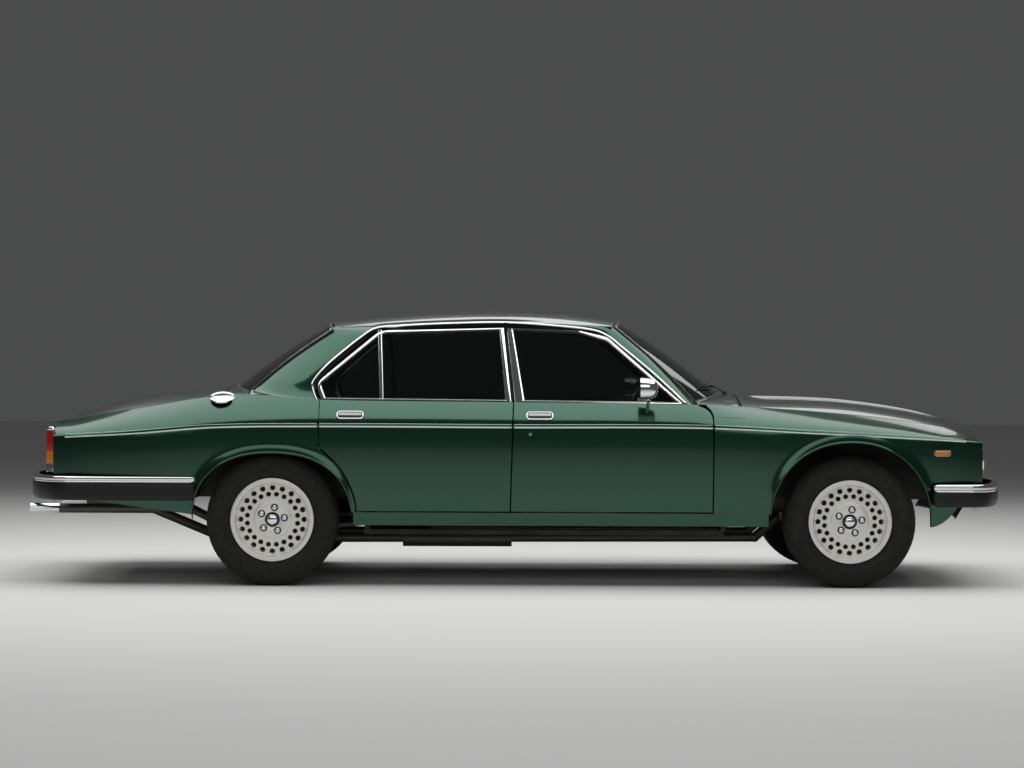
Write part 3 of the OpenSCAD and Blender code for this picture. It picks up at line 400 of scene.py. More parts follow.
def feed(mat, node, output, socket):
    mat.node_tree.links.new(node.outputs[output], mat.node_tree.nodes["Principled BSDF"].inputs[socket])


def colour_by(mat, kind, scale, stops, output=0, **sockets):
    """Colours a finish by a texture. The stops are places from 0 to 1 with their colours."""
    tex = texture(mat, kind, scale, **sockets)
    node = mat.node_tree.nodes.new("ShaderNodeValToRGB")
    elements = node.color_ramp.elements
    elements[0].position, elements[0].color = stops[0][0], (*stops[0][1], 1)
    elements[1].position, elements[1].color = stops[-1][0], (*stops[-1][1], 1)
    for position, colour in stops[1:-1]:
        elements.new(position).color = (*colour, 1)
    mat.node_tree.links.new(tex.outputs[output], node.inputs["Fac"])
    feed(mat, node, "Color", "Base Color")


def rough_by(mat, kind, scale, low, high, **sockets):
    tex = texture(mat, kind, scale, **sockets)
    node = mat.node_tree.nodes.new("ShaderNodeMapRange")
    node.inputs["To Min"].default_value = low
    node.inputs["To Max"].default_value = high
    mat.node_tree.links.new(tex.outputs[0], node.inputs["Value"])
    feed(mat, node, "Result", "Roughness")


def bump(mat, kind, scale, distance, strength, **sockets):
    tex = texture(mat, kind, scale, **sockets)
    node = mat.node_tree.nodes.new("ShaderNodeBump")
    node.inputs["Distance"].default_value = distance
    node.inputs["Strength"].default_value = strength
    mat.node_tree.links.new(tex.outputs[0], node.inputs["Height"])
    feed(mat, node, "Normal", "Normal")


paint = finish("bottle_green_paint", (0.011, 0.062, 0.035), 0.9, 0.22, Coat_Weight=0.8, Coat_Roughness=0.03,
               Coat_IOR=1.5)
colour_by(paint, "Voronoi", 2600.0,
          [(0.0, (0.009, 0.05, 0.028)), (0.5, (0.011, 0.063, 0.036)), (1.0, (0.017, 0.085, 0.05))], "Color")
rough_by(paint, "Noise", 60.0, 0.17, 0.25, Detail=3.0)
chrome = finish("bright_chrome", (0.86, 0.87, 0.88), 1.0, 0.07)
rough_by(chrome, "Noise", 90.0, 0.04, 0.13, Detail=4.0)
alloy = finish("wheel_lacquer", (0.8, 0.79, 0.74), 0.5, 0.38, Coat_Weight=0.3, Coat_Roughness=0.12)
colour_by(alloy, "Noise", 900.0, [(0.3, (0.76, 0.75, 0.7)), (0.7, (0.88, 0.87, 0.82))], Detail=2.0)
rubber = finish("tyre_rubber", (0.014, 0.014, 0.013), 0.0, 0.75, Specular_IOR_Level=0.3)
colour_by(rubber, "Noise", 40.0, [(0.3, (0.007, 0.007, 0.006)), (0.75, (0.02, 0.019, 0.016))], Detail=6.0)
bump(rubber, "Noise", 900.0, 0.0003, 0.5, Detail=3.0)
black_rubber = finish("bumper_rubber", (0.006, 0.0065, 0.0065), 0.0, 0.42, Specular_IOR_Level=0.35)
bump(black_rubber, "Voronoi", 700.0, 0.0002, 0.5)
rough_by(black_rubber, "Noise", 30.0, 0.34, 0.52, Detail=4.0)
seal = finish("black_seal", (0.008, 0.008, 0.009), 0.0, 0.6)
rough_by(seal, "Noise", 200.0, 0.5, 0.7)
glass = finish("tinted_glass", (0.16, 0.2, 0.19), 0.0, 0.015, Transmission_Weight=1.0, IOR=1.45)
rough_by(glass, "Noise", 8.0, 0.005, 0.02)
clear = finish("clear_lens", (0.95, 0.96, 0.96), 0.0, 0.03, Transmission_Weight=1.0, IOR=1.45)
bump(clear, "Wave", 120.0, 0.0012, 0.7)
red = finish("red_lens", (0.5, 0.012, 0.01), 0.0, 0.12, Transmission_Weight=0.35, Coat_Weight=0.6)
bump(red, "Wave", (0, 0, 220.0), 0.001, 0.7)
colour_by(red, "Noise", 30.0, [(0.3, (0.42, 0.008, 0.008)), (0.7, (0.6, 0.02, 0.015))])
amber = finish("amber_lens", (0.85, 0.26, 0.02), 0.0, 0.12, Transmission_Weight=0.3, Coat_Weight=0.6)
bump(amber, "Wave", (0, 0, 260.0), 0.001, 0.7)
colour_by(amber, "Noise", 30.0, [(0.3, (0.8, 0.2, 0.01)), (0.7, (0.9, 0.32, 0.03))])
hide = finish("biscuit_hide", (0.5, 0.37, 0.22), 0.0, 0.42)
colour_by(hide, "Noise", 14.0, [(0.25, (0.4, 0.28, 0.16)), (0.75, (0.56, 0.42, 0.26))], Detail=5.0)
bump(hide, "Voronoi", 420.0, 0.0005, 0.6)
walnut = finish("burr_walnut", (0.2, 0.09, 0.035), 0.0, 0.25, Coat_Weight=1.0, Coat_Roughness=0.05)
colour_by(walnut, "Wave", (9.0, 14.0, 14.0),
          [(0.0, (0.07, 0.025, 0.01)), (0.5, (0.22, 0.1, 0.035)), (1.0, (0.36, 0.18, 0.07))],
          Distortion=18.0, Detail=4.0)
headcloth = finish("headlining_cloth", (0.62, 0.57, 0.47), 0.0, 0.9, Sheen_Weight=0.3)
bump(headcloth, "Voronoi", 800.0, 0.0004, 0.6)
colour_by(headcloth, "Noise", 60.0, [(0.3, (0.55, 0.5, 0.41)), (0.7, (0.68, 0.63, 0.53))], Detail=4.0)
carpet = finish("cabin_carpet", (0.16, 0.12, 0.075), 0.0, 0.95, Sheen_Weight=0.4)
bump(carpet, "Noise", 1400.0, 0.002, 0.9, Detail=2.0)
colour_by(carpet, "Noise", 300.0, [(0.3, (0.1, 0.075, 0.045)), (0.7, (0.2, 0.15, 0.1))], Detail=4.0)
underseal = finish("underseal", (0.02, 0.022, 0.022), 0.0, 0.7)
bump(underseal, "Noise", 180.0, 0.0015, 0.7, Detail=5.0)
colour_by(underseal, "Noise", 6.0, [(0.35, (0.012, 0.013, 0.013)), (0.7, (0.045, 0.042, 0.036))], Detail=5.0)
iron = finish("cast_iron", (0.1, 0.1, 0.1), 0.8, 0.55)
bump(iron, "Noise", 350.0, 0.001, 0.7, Detail=4.0)
colour_by(iron, "Noise", 12.0, [(0.35, (0.07, 0.07, 0.07)), (0.75, (0.16, 0.13, 0.1))], Detail=5.0)
steel = finish("exhaust_steel", (0.13, 0.125, 0.12), 0.9, 0.45)
rough_by(steel, "Noise", (30.0, 200.0, 200.0), 0.4, 0.65, Detail=4.0)
black_plastic = finish("black_moulding", (0.02, 0.02, 0.02), 0.0, 0.45)
bump(black_plastic, "Voronoi", 900.0, 0.0002, 0.5)
coachline = finish("coachline", (0.72, 0.84, 0.76), 0.0, 0.35, Coat_Weight=0.6)
rough_by(coachline, "Noise", 120.0, 0.25, 0.36)
dial_white = finish("dial_white", (0.78, 0.78, 0.74), 0.0, 0.35)
rough_by(dial_white, "Noise", 80.0, 0.28, 0.42)
reflector = finish("lamp_reflector", (0.9, 0.9, 0.9), 1.0, 0.12)
rough_by(reflector, "Noise", 150.0, 0.08, 0.16)

# Solids that keep their shape and get a finish
KEPT = {
    "floor_pan": underseal, "sills": paint, "bulkheads": underseal, "inner_wings": underseal, "exhaust": steel,
    "front_suspension": iron, "rear_axle": iron, "knuckle_right": iron, "knuckle_left": iron,
}
KEPT.update({f"door_glass_{end}_{side}": glass for end, side in CORNERS})
for node, mat in KEPT.items():
    nodes[node].data.materials.clear()
    nodes[node].data.materials.append(mat)

# Wings
corner_x = x_a - shut_gap / 2 - door_corner_r
corner_z = shoulder_z(x_a) - door_corner_r


def front_wing_foot(x):
    if x < x_a + shut_gap / 2 - 0.3:
        r = door_corner_r + shut_gap
        return corner_z + sqrt(max(0.0, r * r - (x - corner_x) ** 2))
    if x < x_fa + front_arch[0] + 1:
        return max(sill_top + 0.3, arch_z(x, x_fa, front_arch))
    return min(sill_h + 130, sill_h + 0.0052 * (x - x_fa - front_arch[0]) ** 2)


def rear_wing_foot(x):
    if x < x_ra - rear_arch[0] - 1:
        return sill_h + 50 + 0.13 * (x_ra - rear_arch[0] - x)
    if x < x_c - 0.3:
        return arch_z(x, x_ra, rear_arch)
    return max(sill_top + 0.3, arch_z(x, x_ra, rear_arch))


def rear_wing_head(x):
    if x < x_c - 0.3:
        return shoulder_z(x)
    r = door_arc_r - shut_gap
    return axle_z + sqrt(max(0.0, r * r - (x - x_ra) ** 2))


def arch_stations(x_axle, arch, start, end, n):
    return [x_axle - arch[0] * cos(radians(a)) for a in spread(start, end, n)]


LIP_SWELL, LIP_WIDTH = 15.0, 46


def flare(x, z):
    """How far the skin swells out towards the edge of a wheel arch."""
    swell = 0.0
    for x_axle, arch in ((x_fa, front_arch), (x_ra, rear_arch)):
        s = (abs(x - x_axle) / arch[0]) ** arch[2] + (max(0.0, z - axle_z) / arch[1]) ** arch[2]
        edge = (s ** (1 / arch[2]) - 1) * arch[1]
        swell = max(swell, LIP_SWELL * clamp(1 - edge / LIP_WIDTH) ** 1.6)
    return swell


def wing(bm, stations, foot, head, rows=34, split=0.5):
    n = len(stations) - 1

    def place(u, v):
        x = stations[round(u * n)]
        low, high = foot(x), head(x)
        w = max(mix(low, high, 0.3), min(mix(low, high, 0.9), waist_z(x)))
        z = mix(low, w, (v / split) ** 1.7) if v < split else mix(w, high, (v - split) / (1 - split))
        return skin(x, z, flare(x, z))

    aim(bm, grid(bm, n, rows, place), OUTWARD)


front_ends = (x_fa - front_arch[0] - 2, x_fa + front_arch[0] + 2)
front_stations = (spread(corner_x + 42, x_a + shut_gap / 2 - 0.6, 6) + spread(x_a + shut_gap / 2, front_ends[0], 8)
                  + arch_stations(x_fa, front_arch, 0, 180, 48) + spread(front_ends[1], x_nose_side, 14))
rear_turn = 180 - 180 / pi * atan2(sqrt(rear_arch[0] ** 2 - (x_c - 0.6 - x_ra) ** 2), x_c - 0.6 - x_ra)
rear_stations = (spread(x_tail_side, x_ra - rear_arch[0] - 2, 22) + arch_stations(x_ra, rear_arch, 0, rear_turn, 36)
                 + spread(x_c, x_ra + door_arc_r - shut_gap - 8, 12))
for end, stations, foot, head in (("front", front_stations, front_wing_foot, shoulder_z),
                                  ("rear", rear_stations, rear_wing_foot, rear_wing_head)):
    bm = bmesh.new()
    wing(bm, stations, foot, head)
    mirrored(bm)
    piece(f"{end}_wing_skins", bm, paint, "body", "paint", [f"{end}_wings"], wall=9, soften=1.5)

# Rolled lips round the wheel arches
bm = bmesh.new()
for x_axle, arch, first, last in ((x_fa, front_arch, 4, 172), (x_ra, rear_arch, 6, 171)):
    path = [skin(x, arch_z(x, x_axle, arch) + 3, LIP_SWELL - 4) for x in arch_stations(x_axle, arch, first, last, 44)]
    sweep(bm, path, oval(12, 14, 10), OUTWARD)
mirrored(bm)
piece("arch_lips", bm, paint, "body", "paint")

# Doors: outer skins with thick inner walls and a thin lip over the hinges
door_foot = sill_top + shut_gap


def door_in(z):
    return mix(half_w - 140, half_w - 185, (z - door_foot) / (belt_h - door_foot))


def b_line(z):
    return x_b + 7 - 14.5 * (belt_h - z) / (belt_h - sill_top)


def door_edges(front, z):
    """Rear and front edges of a door at a height."""
    if front:
        x = corner_x + door_corner_r
        if z > corner_z:
            x = corner_x + sqrt(max(0.0, door_corner_r**2 - (z - corner_z) ** 2))
        return b_line(z) + shut_gap / 2, x
    arc = x_ra + sqrt(max(0.0, door_arc_r**2 - (z - axle_z) ** 2))
    return max(x_c + shut_gap / 2, arc), b_line(z) - shut_gap / 2


DOOR_ROWS = [0, 0.13, 0.26, 0.38, 0.5, 0.6, 0.69, 0.77, 0.84, 0.89, 0.93, 0.965, 1]


def door_point(front, u, v):
    """Station and height on a door; the last fifth of u is the lip."""
    t = v * (len(DOOR_ROWS) - 1)
    i = min(int(t), len(DOOR_ROWS) - 2)
    level = mix(DOOR_ROWS[i], DOOR_ROWS[i + 1], t - i)
    rear, fore = door_edges(front, mix(door_foot, belt_h - 1, level))
    x = mix(rear, fore - door_lip - 2, u / 0.8) if u < 0.801 else mix(fore - door_lip, fore, (u - 0.825) / 0.175)
    return x, mix(door_foot, shoulder_z(x) - 0.6, level)


def door_shell(bm, front):
    def outer(u, v):
        return skin(*door_point(front, u, v))

    def inner(u, v):
        x, z = door_point(front, u, v)
        if u > 0.81:
            return skin(x, z, -10)
        return Vector((x + (25 if u < 0.01 else 0), -door_in(z), z))

    slab(bm, 40, 36, outer, inner)


for end, side in CORNERS:
    door = f"door_{end}_{side}"
    bm = bmesh.new()
    door_shell(bm, end == "front")
    fit_side(side, door, [(f"{door}_skin", bm, paint, "paint", door)], soften=1.5)

# Bonnet, boot lid and roof
def lid_half(x):
    return shoulder_y(x) - shut_gap


def bonnet_front(y):
    return x_nose - 60 * (abs(y) / (half_w - 275)) ** 2.2


def tail_x(y):
    return x_tail + 35 * (abs(y) / 720) ** 2


def bonnet_flank(x, y, u):
    """How far the bonnet falls away beside its raised middle."""
    edge, brow, fall = lid_half(x), mix(285, 175, u), 48
    beside = ease((abs(y) - brow) / fall) * ease((edge - abs(y)) / (edge - brow - fall))
    return 9 * beside * ease(u / 0.12) * ease((1 - u) / 0.2)


def bonnet_point(u, v):
    y = (2 * v - 1) * lid_half(mix(bonnet_rear, x_nose_side, u))
    x = mix(bonnet_rear, bonnet_front(y), u)
    return Vector((x, y, top_z(x, y) - bonnet_flank(x, y, u)))


bm = bmesh.new()
aim(bm, grid(bm, 56, 110, bonnet_point), UP)
piece("bonnet_skin", bm, paint, "bonnet", "paint", ["bonnet"], wall=14, soften=2)


def boot_point(u, v):
    """Across the face from its foot, round the edge and along the top."""
    w = 2 * v - 1
    if u < 0.4:
        t = u / 0.4
        y = w * mix(half_w - 275, lid_half(boot_edge), t**4)
        return Vector((tail_x(y), y, mix(boot_foot_z, top_z(boot_edge, y) - 22, t)))
    t = (u - 0.4) / 0.6
    x = mix(boot_edge, boot_front, t)
    y = w * lid_half(x - 30 * t)
    return Vector((mix(tail_x(y), x, clamp(t / 0.03)), y, top_z(x, y) - 22 * (1 - clamp(t / 0.05)) ** 2))


bm = bmesh.new()
aim(bm, grid(bm, 60, 40, boot_point), Vector((-0.5, 0, 1)))
piece("boot_lid_skin", bm, paint, "boot_lid", "paint", ["boot_lid"], wall=14, soften=2)


ROOF_TRIM = 536


def roof_point(u, v):
    w = 2 * v - 1
    x = mix(roof_rear(w * roof_half), roof_front(w * roof_half), u)
    y = w * mix(roof_half, ROOF_TRIM, ease((-560 - x) / 90))
    return Vector((x, y, roof_z(x, y)))


bm = bmesh.new()
aim(bm, grid(bm, 60, 48, roof_point), UP)
piece("roof_skin", bm, paint, "body", "paint", ["roof"], wall=4, soften=1)

# Roof corners: rear pillars that run from the roof to the wings, and the slim windscreen pillars
rail_line = [
    (-990, 921), (-1010, 965), (-1012, 1011), (-952, 1089), (-865, 1167), (-780, 1236), (-710, 1280), (-607, 1293),
    (-349, 1307), (-49, 1313), (231, 1295), (385, 1277), (462, 1247), (538, 1186), (691, 1057), (844, 912),
]


def measured(path):
    """Function that gives the point at a share of a path's length."""
    marks = [0.0]
    for a, b in zip(path, path[1:]):
        marks.append(marks[-1] + (b - a).length)

    def at(t):
        want = clamp(t) * marks[-1]
        i = max(k for k in range(len(marks) - 1) if marks[k] <= want + 1e-9)
        return path[i].lerp(path[i + 1], (want - marks[i]) / (marks[i + 1] - marks[i]))

    return at


def back_edge(v):
    """Right-hand edge of the rear window, from its head to its foot."""
    yh, yf = screen_head_half, screen_foot_half * 0.93
    head = Vector((roof_rear(yh) - 13, -yh, roof_z(roof_rear(yh), yh) - 8))
    xf = back_foot_x(yf)
    foot = Vector((xf, -yf, top_z(xf, yf) - 4))
    return head.lerp(foot, v) + Vector((-9, 0, 9)) * sin(pi * v)


pillar_rail = measured(smooth_path([lean(x, z) for x, z in reversed(rail_line[:8])]))


def pillar(u, s):
    a, b = pillar_rail(s), back_edge(s)
    point = a.lerp(b, u)
    point.y = mix(a.y, b.y, u**2.2)
    return point


def corner_curve(a, b, c, t):
    return a * (1 - t) ** 2 + b * 2 * t * (1 - t) + c * t * t


def sail_point(u, v):
    """Rear pillar: over the roof's edge, down the pillar and out to the wing's shoulder."""
    if v < 0.25:
        x = mix(-600, roof_rear(ROOF_TRIM) - 4, u)
        return corner_curve(Vector((x, -ROOF_TRIM, roof_z(x, ROOF_TRIM) + 0.4)), pillar(u, 0) + Vector((0, 0, 4)),
                            pillar(u, 0.2), v / 0.25)
    if v < 0.75:
        return pillar(u, mix(0.2, 0.84, (v - 0.25) / 0.5))
    x = mix(-990, -1342, u)
    shoulder = Vector((x, -shoulder_y(x), shoulder_z(x)))
    return corner_curve(pillar(u, 0.84), pillar(u, 1), shoulder, (v - 0.75) / 0.25)


bm = bmesh.new()
aim(bm, grid(bm, 24, 48, sail_point), Vector((0, -1, 0.4)))
mirrored(bm)
piece("rear_pillars", bm, paint, "body", "paint", wall=3)


def screen_edge(v):
    """Right-hand edge of the windscreen, from its head to its foot."""
    yh, yf = screen_head_half, screen_foot_half
    head = Vector((roof_front(yh) + 13, -yh, roof_z(roof_front(yh), yh) - 8))
    xf = screen_foot_x(yf)
    foot = Vector((xf, -yf, top_z(xf, yf) - 4))
    return head.lerp(foot, v) + Vector((9, 0, 9)) * sin(pi * v)


post_rail = measured(smooth_path([lean(x, z) for x, z in rail_line[10:]] + [lean(880, 880)]))
roof_edge = [Vector((x, -roof_half + d, roof_z(x, roof_half - d))) for x, d in ((231, 1), (360, 4), (450, 12))]
post_edge = measured(smooth_path(roof_edge) + [screen_edge(k / 12) for k in range(13)])


def post_point(u, v):
    a, b = post_rail(v), post_edge(v)
    return a.lerp(b, u) + Vector((0.35, -0.8, 0.3)) * 9 * sin(pi * u) * min(1, 8 * v)


bm = bmesh.new()
aim(bm, grid(bm, 10, 60, post_point), Vector((0.3, -1, 0.3)))
mirrored(bm)
piece("windscreen_pillars", bm, paint, "body", "paint", wall=3)

# Scuttle in front of the windscreen and deck behind the rear window
def scuttle_point(u, v):
    y = (2 * v - 1) * shoulder_y(1000)
    x = mix(max(screen_foot_x(y) + 2, 905), bonnet_rear - 6, u)
    y = clamp(y, -shoulder_y(x), shoulder_y(x))
    return Vector((x, y, top_z(x, y) - (1.5 if abs(y) > 680 else 0)))


def deck_point(u, v):
    y = (2 * v - 1) * shoulder_y(boot_front)
    x = mix(boot_front + 6, min(back_foot_x(y) - 2, -1338), u)
    return Vector((x, y, top_z(x, y)))


bm = bmesh.new()
aim(bm, grid(bm, 14, 56, scuttle_point), UP)
aim(bm, grid(bm, 10, 56, deck_point), UP)
piece("scuttle_and_deck", bm, paint, "body", "paint", wall=6)

# Windscreen and rear window with their seals and bright surrounds
def screen_point(u, v, inside=0.0):
    yf, yh = mix(1, -1, u) * screen_foot_half, mix(1, -1, u) * screen_head_half
    xf, xh = screen_foot_x(yf), roof_front(yh)
    foot, head = Vector((xf, yf, top_z(xf, yf) - 8)), Vector((xh + 13, yh, roof_z(xh, yh) - 14))
    return foot.lerp(head, v) + Vector((9, 0, 9)) * sin(pi * v) - Vector((3.6, 0, 4.8)) * inside


def back_point(u, v, inside=0.0):
    yf, yh = mix(-1, 1, u) * screen_foot_half * 0.93, mix(-1, 1, u) * screen_head_half
    xf, xh = back_foot_x(yf), roof_rear(yh)
    foot, head = Vector((xf, yf, top_z(xf, yf) - 8)), Vector((xh - 13, yh, roof_z(xh, yh) - 14))
    return foot.lerp(head, v) + Vector((-9, 0, 9)) * sin(pi * v) - Vector((-3.6, 0, 4.8)) * inside


for name, point, out in (("windscreen", screen_point, Vector((0.65, 0, 0.75))),
                         ("rear_window", back_point, Vector((-0.65, 0, 0.75)))):
    bm = bmesh.new()
    slab(bm, 36, 18, point, lambda u, v: point(u, v, 1))
    piece(f"{name}_pane", bm, glass, "body", "window_glass", [name])
    edge = ([point(k / 30, 0) for k in range(30)] + [point(1, k / 16) for k in range(16)]
            + [point(1 - k / 30, 1) for k in range(30)] + [point(0, 1 - k / 16) for k in range(16)])
    bm = bmesh.new()
    sweep(bm, edge, oval(30, 15, 12, 3), out, closed=True)
    piece(f"{name}_seal", bm, seal, "body", "black_trim")
    bm = bmesh.new()
    sweep(bm, [p + out * 6 for p in edge], oval(9, 7, 10), out, closed=True)
    piece(f"{name}_surround", bm, chrome, "body", "bright_trim")

# Drip rails and door window frames
lean_out = Vector((0, -lean_cos, sin(radians(24.5))))
bm = bmesh.new()
sweep(bm, smooth_path([lean(x, z, -4) for x, z in rail_line], 8), oval(9, 16, 12, 2.6), lean_out)
mirrored(bm)
piece("drip_rails", bm, chrome, "body", "bright_trim")


front_frame = rounded([
    (x_b + 13, shoulder_z(x_b + 13)), (x_a - 138, shoulder_z(x_a - 138)), (x_fa - 1200, window_top - 44),
    (x_b + 330, window_top - 12), (x_b - 28, window_top - 1)], (0, 0, 80, 200, 0), 8)
front_pane = rounded([
    (x_b + 63, shoulder_z(x_b + 63) + 10), (x_a - 172, shoulder_z(x_a - 172) + 10), (x_fa - 1205, window_top - 66),
    (x_b + 330, window_top - 22), (x_b + 2, window_top - 10)], (0, 0, 64, 190, 0), 8)
rear_frame = rounded([
    (x_c + 6, shoulder_z(x_c + 6)), (x_b - 3, shoulder_z(x_b - 3)), (x_b - 44, window_top - 1),
    (x_c + 290, window_top - 17), (x_c - 24, window_top - 284)], (0, 0, 0, 110, 55), 8)
rear_pane = rounded([
    (x_c + 28, shoulder_z(x_c + 28) + 10), (x_b - 37, shoulder_z(x_b - 37) + 10), (x_b - 66, window_top - 11),
    (x_c + 300, window_top - 30), (x_c - 2, window_top - 284)], (0, 0, 0, 95, 40), 8)
FRAME_SECTION = [(0, 26), (0, 3), (0.06, 0), (0.3, -3), (0.7, -3), (0.92, 0), (1, 4), (1, 26)]


def frame_ring(bm, outer, inner):
    n, k = len(outer), len(FRAME_SECTION)

    def place(u, v):
        i = round(u * n) % n
        share, depth = FRAME_SECTION[round(v * k) % k]
        q = outer[i].lerp(inner[i], share)
        return lean(q.x, q.y, depth)

    verts = grid(bm, n, k, place)
    bmesh.ops.remove_doubles(bm, verts=verts, dist=0.001)
    bmesh.ops.recalc_face_normals(bm, faces=bm.faces)


# Door furniture: handles, locks and mirrors
def handle_path(x, z, w, h, r, out):
    corners = rounded([(x - w, z - h), (x + w, z - h), (x + w, z + h), (x - w, z + h)], (r,) * 4, 6)
    return [skin(p.x, p.y, out) for p in corners]


def handle(bm, x):
    z = waist_h + 58
    sweep(bm, handle_path(x, z, 64, 17, 14, 2), oval(8, 9, 10), OUTWARD, closed=True)
    top = [skin(x + t, z + 5, 7 - 0.0012 * t * t) for t in range(-56, 57, 8)]
    sweep(bm, top, oval(13, 7, 12, 2.5), Vector((0, -1, 0.2)))


def handle_dish(bm, x):
    z = waist_h + 58

    def place(u, v):
        a, b = (2 * u - 1), (2 * v - 1)
        return skin(x + 64 * a, z + 17 * b * sqrt(max(0.0, 1 - max(0.0, (abs(a) - 0.8) / 0.2) ** 2)), 1.5)

    aim(bm, grid(bm, 20, 6, place), OUTWARD)


mirror_x, mirror_z = x_a - 325, belt_h + 70


def mirror_case(bm):
    """Bowl of the mirror, round in front and open to the rear, on a short stalk."""
    def place(u, v):
        a, b = 2 * pi * u, v
        r = sin(pi / 2 * b) ** 0.55 if b > 0 else 0
        c, s = cos(a), sin(a)
        y = 84 * r * abs(c) ** 0.7 * (1 if c > 0 else -1)
        z = 54 * r * abs(s) ** 0.7 * (1 if s > 0 else -1)
        return Vector((mirror_x + 46 - 88 * b**2.2, -half_w - 8 + y, mirror_z + z))

    verts = grid(bm, 40, 16, place)
    bmesh.ops.remove_doubles(bm, verts=verts, dist=0.01)
    rim = [e for e in bm.edges if e.is_boundary]
    bmesh.ops.holes_fill(bm, edges=rim, sides=0)
    bmesh.ops.recalc_face_normals(bm, faces=bm.faces)
    stalk = smooth_path([(mirror_x + 6, -half_w + 103, shoulder_z(mirror_x) + 2),
                         (mirror_x + 4, -half_w + 88, belt_h + 18), (mirror_x + 2, -half_w + 40, mirror_z - 40)], 6)
    sweep(bm, stalk, oval(30, 20, 12), FORWARD)


def mirror_glass(bm):
    def place(u, v):
        a, b = (2 * u - 1), (2 * v - 1)
        y, z = 76 * a * sqrt(1 - 0.3 * b * b), 47 * b * sqrt(1 - 0.3 * a * a)
        return Vector((mirror_x - 43, -half_w - 8 + y, mirror_z + z))

    aim(bm, grid(bm, 16, 12, place), Vector((-1, 0, 0)))


FRAMES = {"front": (front_frame, front_pane, x_b + 137), "rear": (rear_frame, rear_pane, x_c + 156)}
for end, side in CORNERS:
    outer, inner, grip = FRAMES[end]
    door = f"door_{end}_{side}"
    bright, dish = bmesh.new(), bmesh.new()
    frame_ring(bright, outer, inner)
    if end == "rear":
        bar = [lean(-669, shoulder_z(-669) + 6, 6), lean(-687, window_top - 18, 6)]
        sweep(bright, bar, oval(20, 16, 12, 4), lean_out)
    handle(bright, grip)
    handle_dish(dish, grip)
    parts = [(f"{door}_bright_frame", bright, chrome, "bright_trim", f"door_frame_{end}_{side}"),
             (f"{door}_handle_dish", dish, seal, "black_trim")]
    if end == "front":
        case, face = bmesh.new(), bmesh.new()
        mirror_case(case)
        lock = shift(skin(x_b + 90, waist_h - 30)) @ spun(90, "X")
        turned(case, [(0, 4), (8, 3.4), (10, 0), (10, -6)], 20, lock)
        mirror_glass(face)
        parts += [(f"{door}_mirror_case", case, chrome, "bright_trim"),
                  (f"{door}_mirror_glass", face, reflector, "bright_trim")]
    fit_side(side, door, parts)

# Coachline along the waist, broken at the doors
def coach_strip(bm, x0, x1):
    xs = spread(x0, x1, max(4, int(abs(x1 - x0) / 40)))
    for lift, tall in ((0, 6.5), (15, 2.6)):
        sweep(bm, [skin(x, waist_z(x) + lift, 0.2) for x in xs], oval(tall, 1.2, 8), OUTWARD)


edges = {end: door_edges(end == "front", waist_h) for end in ("front", "rear")}
bm = bmesh.new()
coach_strip(bm, x_tail_side + 60, edges["rear"][0] - shut_gap - 3)
coach_strip(bm, edges["front"][1] + shut_gap + 3, x_nose_side - 90)
mirrored(bm)
piece("wing_coachlines", bm, coachline, "body", "paint")
for end, side in CORNERS:
    door = f"door_{end}_{side}"
    bm = bmesh.new()
    coach_strip(bm, edges[end][0] + 3, edges[end][1] - 3)
    fit_side(side, door, [(f"{door}_coachline", bm, coachline, "paint")])

# Bumpers
END_ROUND = 24.0
END_STEPS = (1, 3, 6.5, 11, 17, END_ROUND)


def bumper_bar(bm, line, section, x_end):
    """Draws a section round the bumper's line and rounds off both ends."""
    verts = sweep(bm, line, section, UP)
    levels = [z for _, z in section]
    middle = (min(levels) + max(levels)) / 2
    for v in verts:
        t = clamp(abs(v.co.x - x_end) / END_ROUND)
        full = sqrt(1 - (1 - t) ** 2)
        v.co.z = mix(middle, v.co.z, 0.3 + 0.7 * full)
        v.co.y *= 1 - 0.014 * (1 - full)


def bumper_line(x_end, x_corner, x_mid, way):
    w = half_w - 1
    plan = rounded([(0, -w), (x_corner, -w), (x_mid - 82, 155 - w), (x_mid, 530 - w), (x_mid, w - 530),
                    (x_mid - 82, w - 155), (x_corner, w), (0, w)], (0, 130, 400, 700, 700, 400, 130, 0), 10)
    plan[1:1] = [Vector((x, -w)) for x in END_STEPS]
    plan[-1:-1] = [Vector((x, w)) for x in reversed(END_STEPS)]
    line = []
    for a, b in zip(plan, plan[1:]):
        count = max(1, int((b - a).length / 60))
        line += [a.lerp(b, k / count) for k in range(count)]
    line.append(plan[-1])
    points = [Vector((x_end + way * p.x, p.y, 0)) for p in line]
    return points if way > 0 else points[::-1]


bumper_section = [(-30, 0), (-14, 0), (-4, 5), (0, 16), (0, 60), (-4, 82), (-10, 93), (-30, 93)]
blade_section = [(-30, -20), (-8, -20), (-2, -18), (0.5, -14), (-0.5, -9), (1, -2), (1.5, 6), (0.5, 13), (-4, 18),
                 (-12, 20), (-30, 20)]
TOW_EYE = [(12.5, -10), (25, -10), (27, -7), (27, 7), (25, 10), (12.5, 10)]
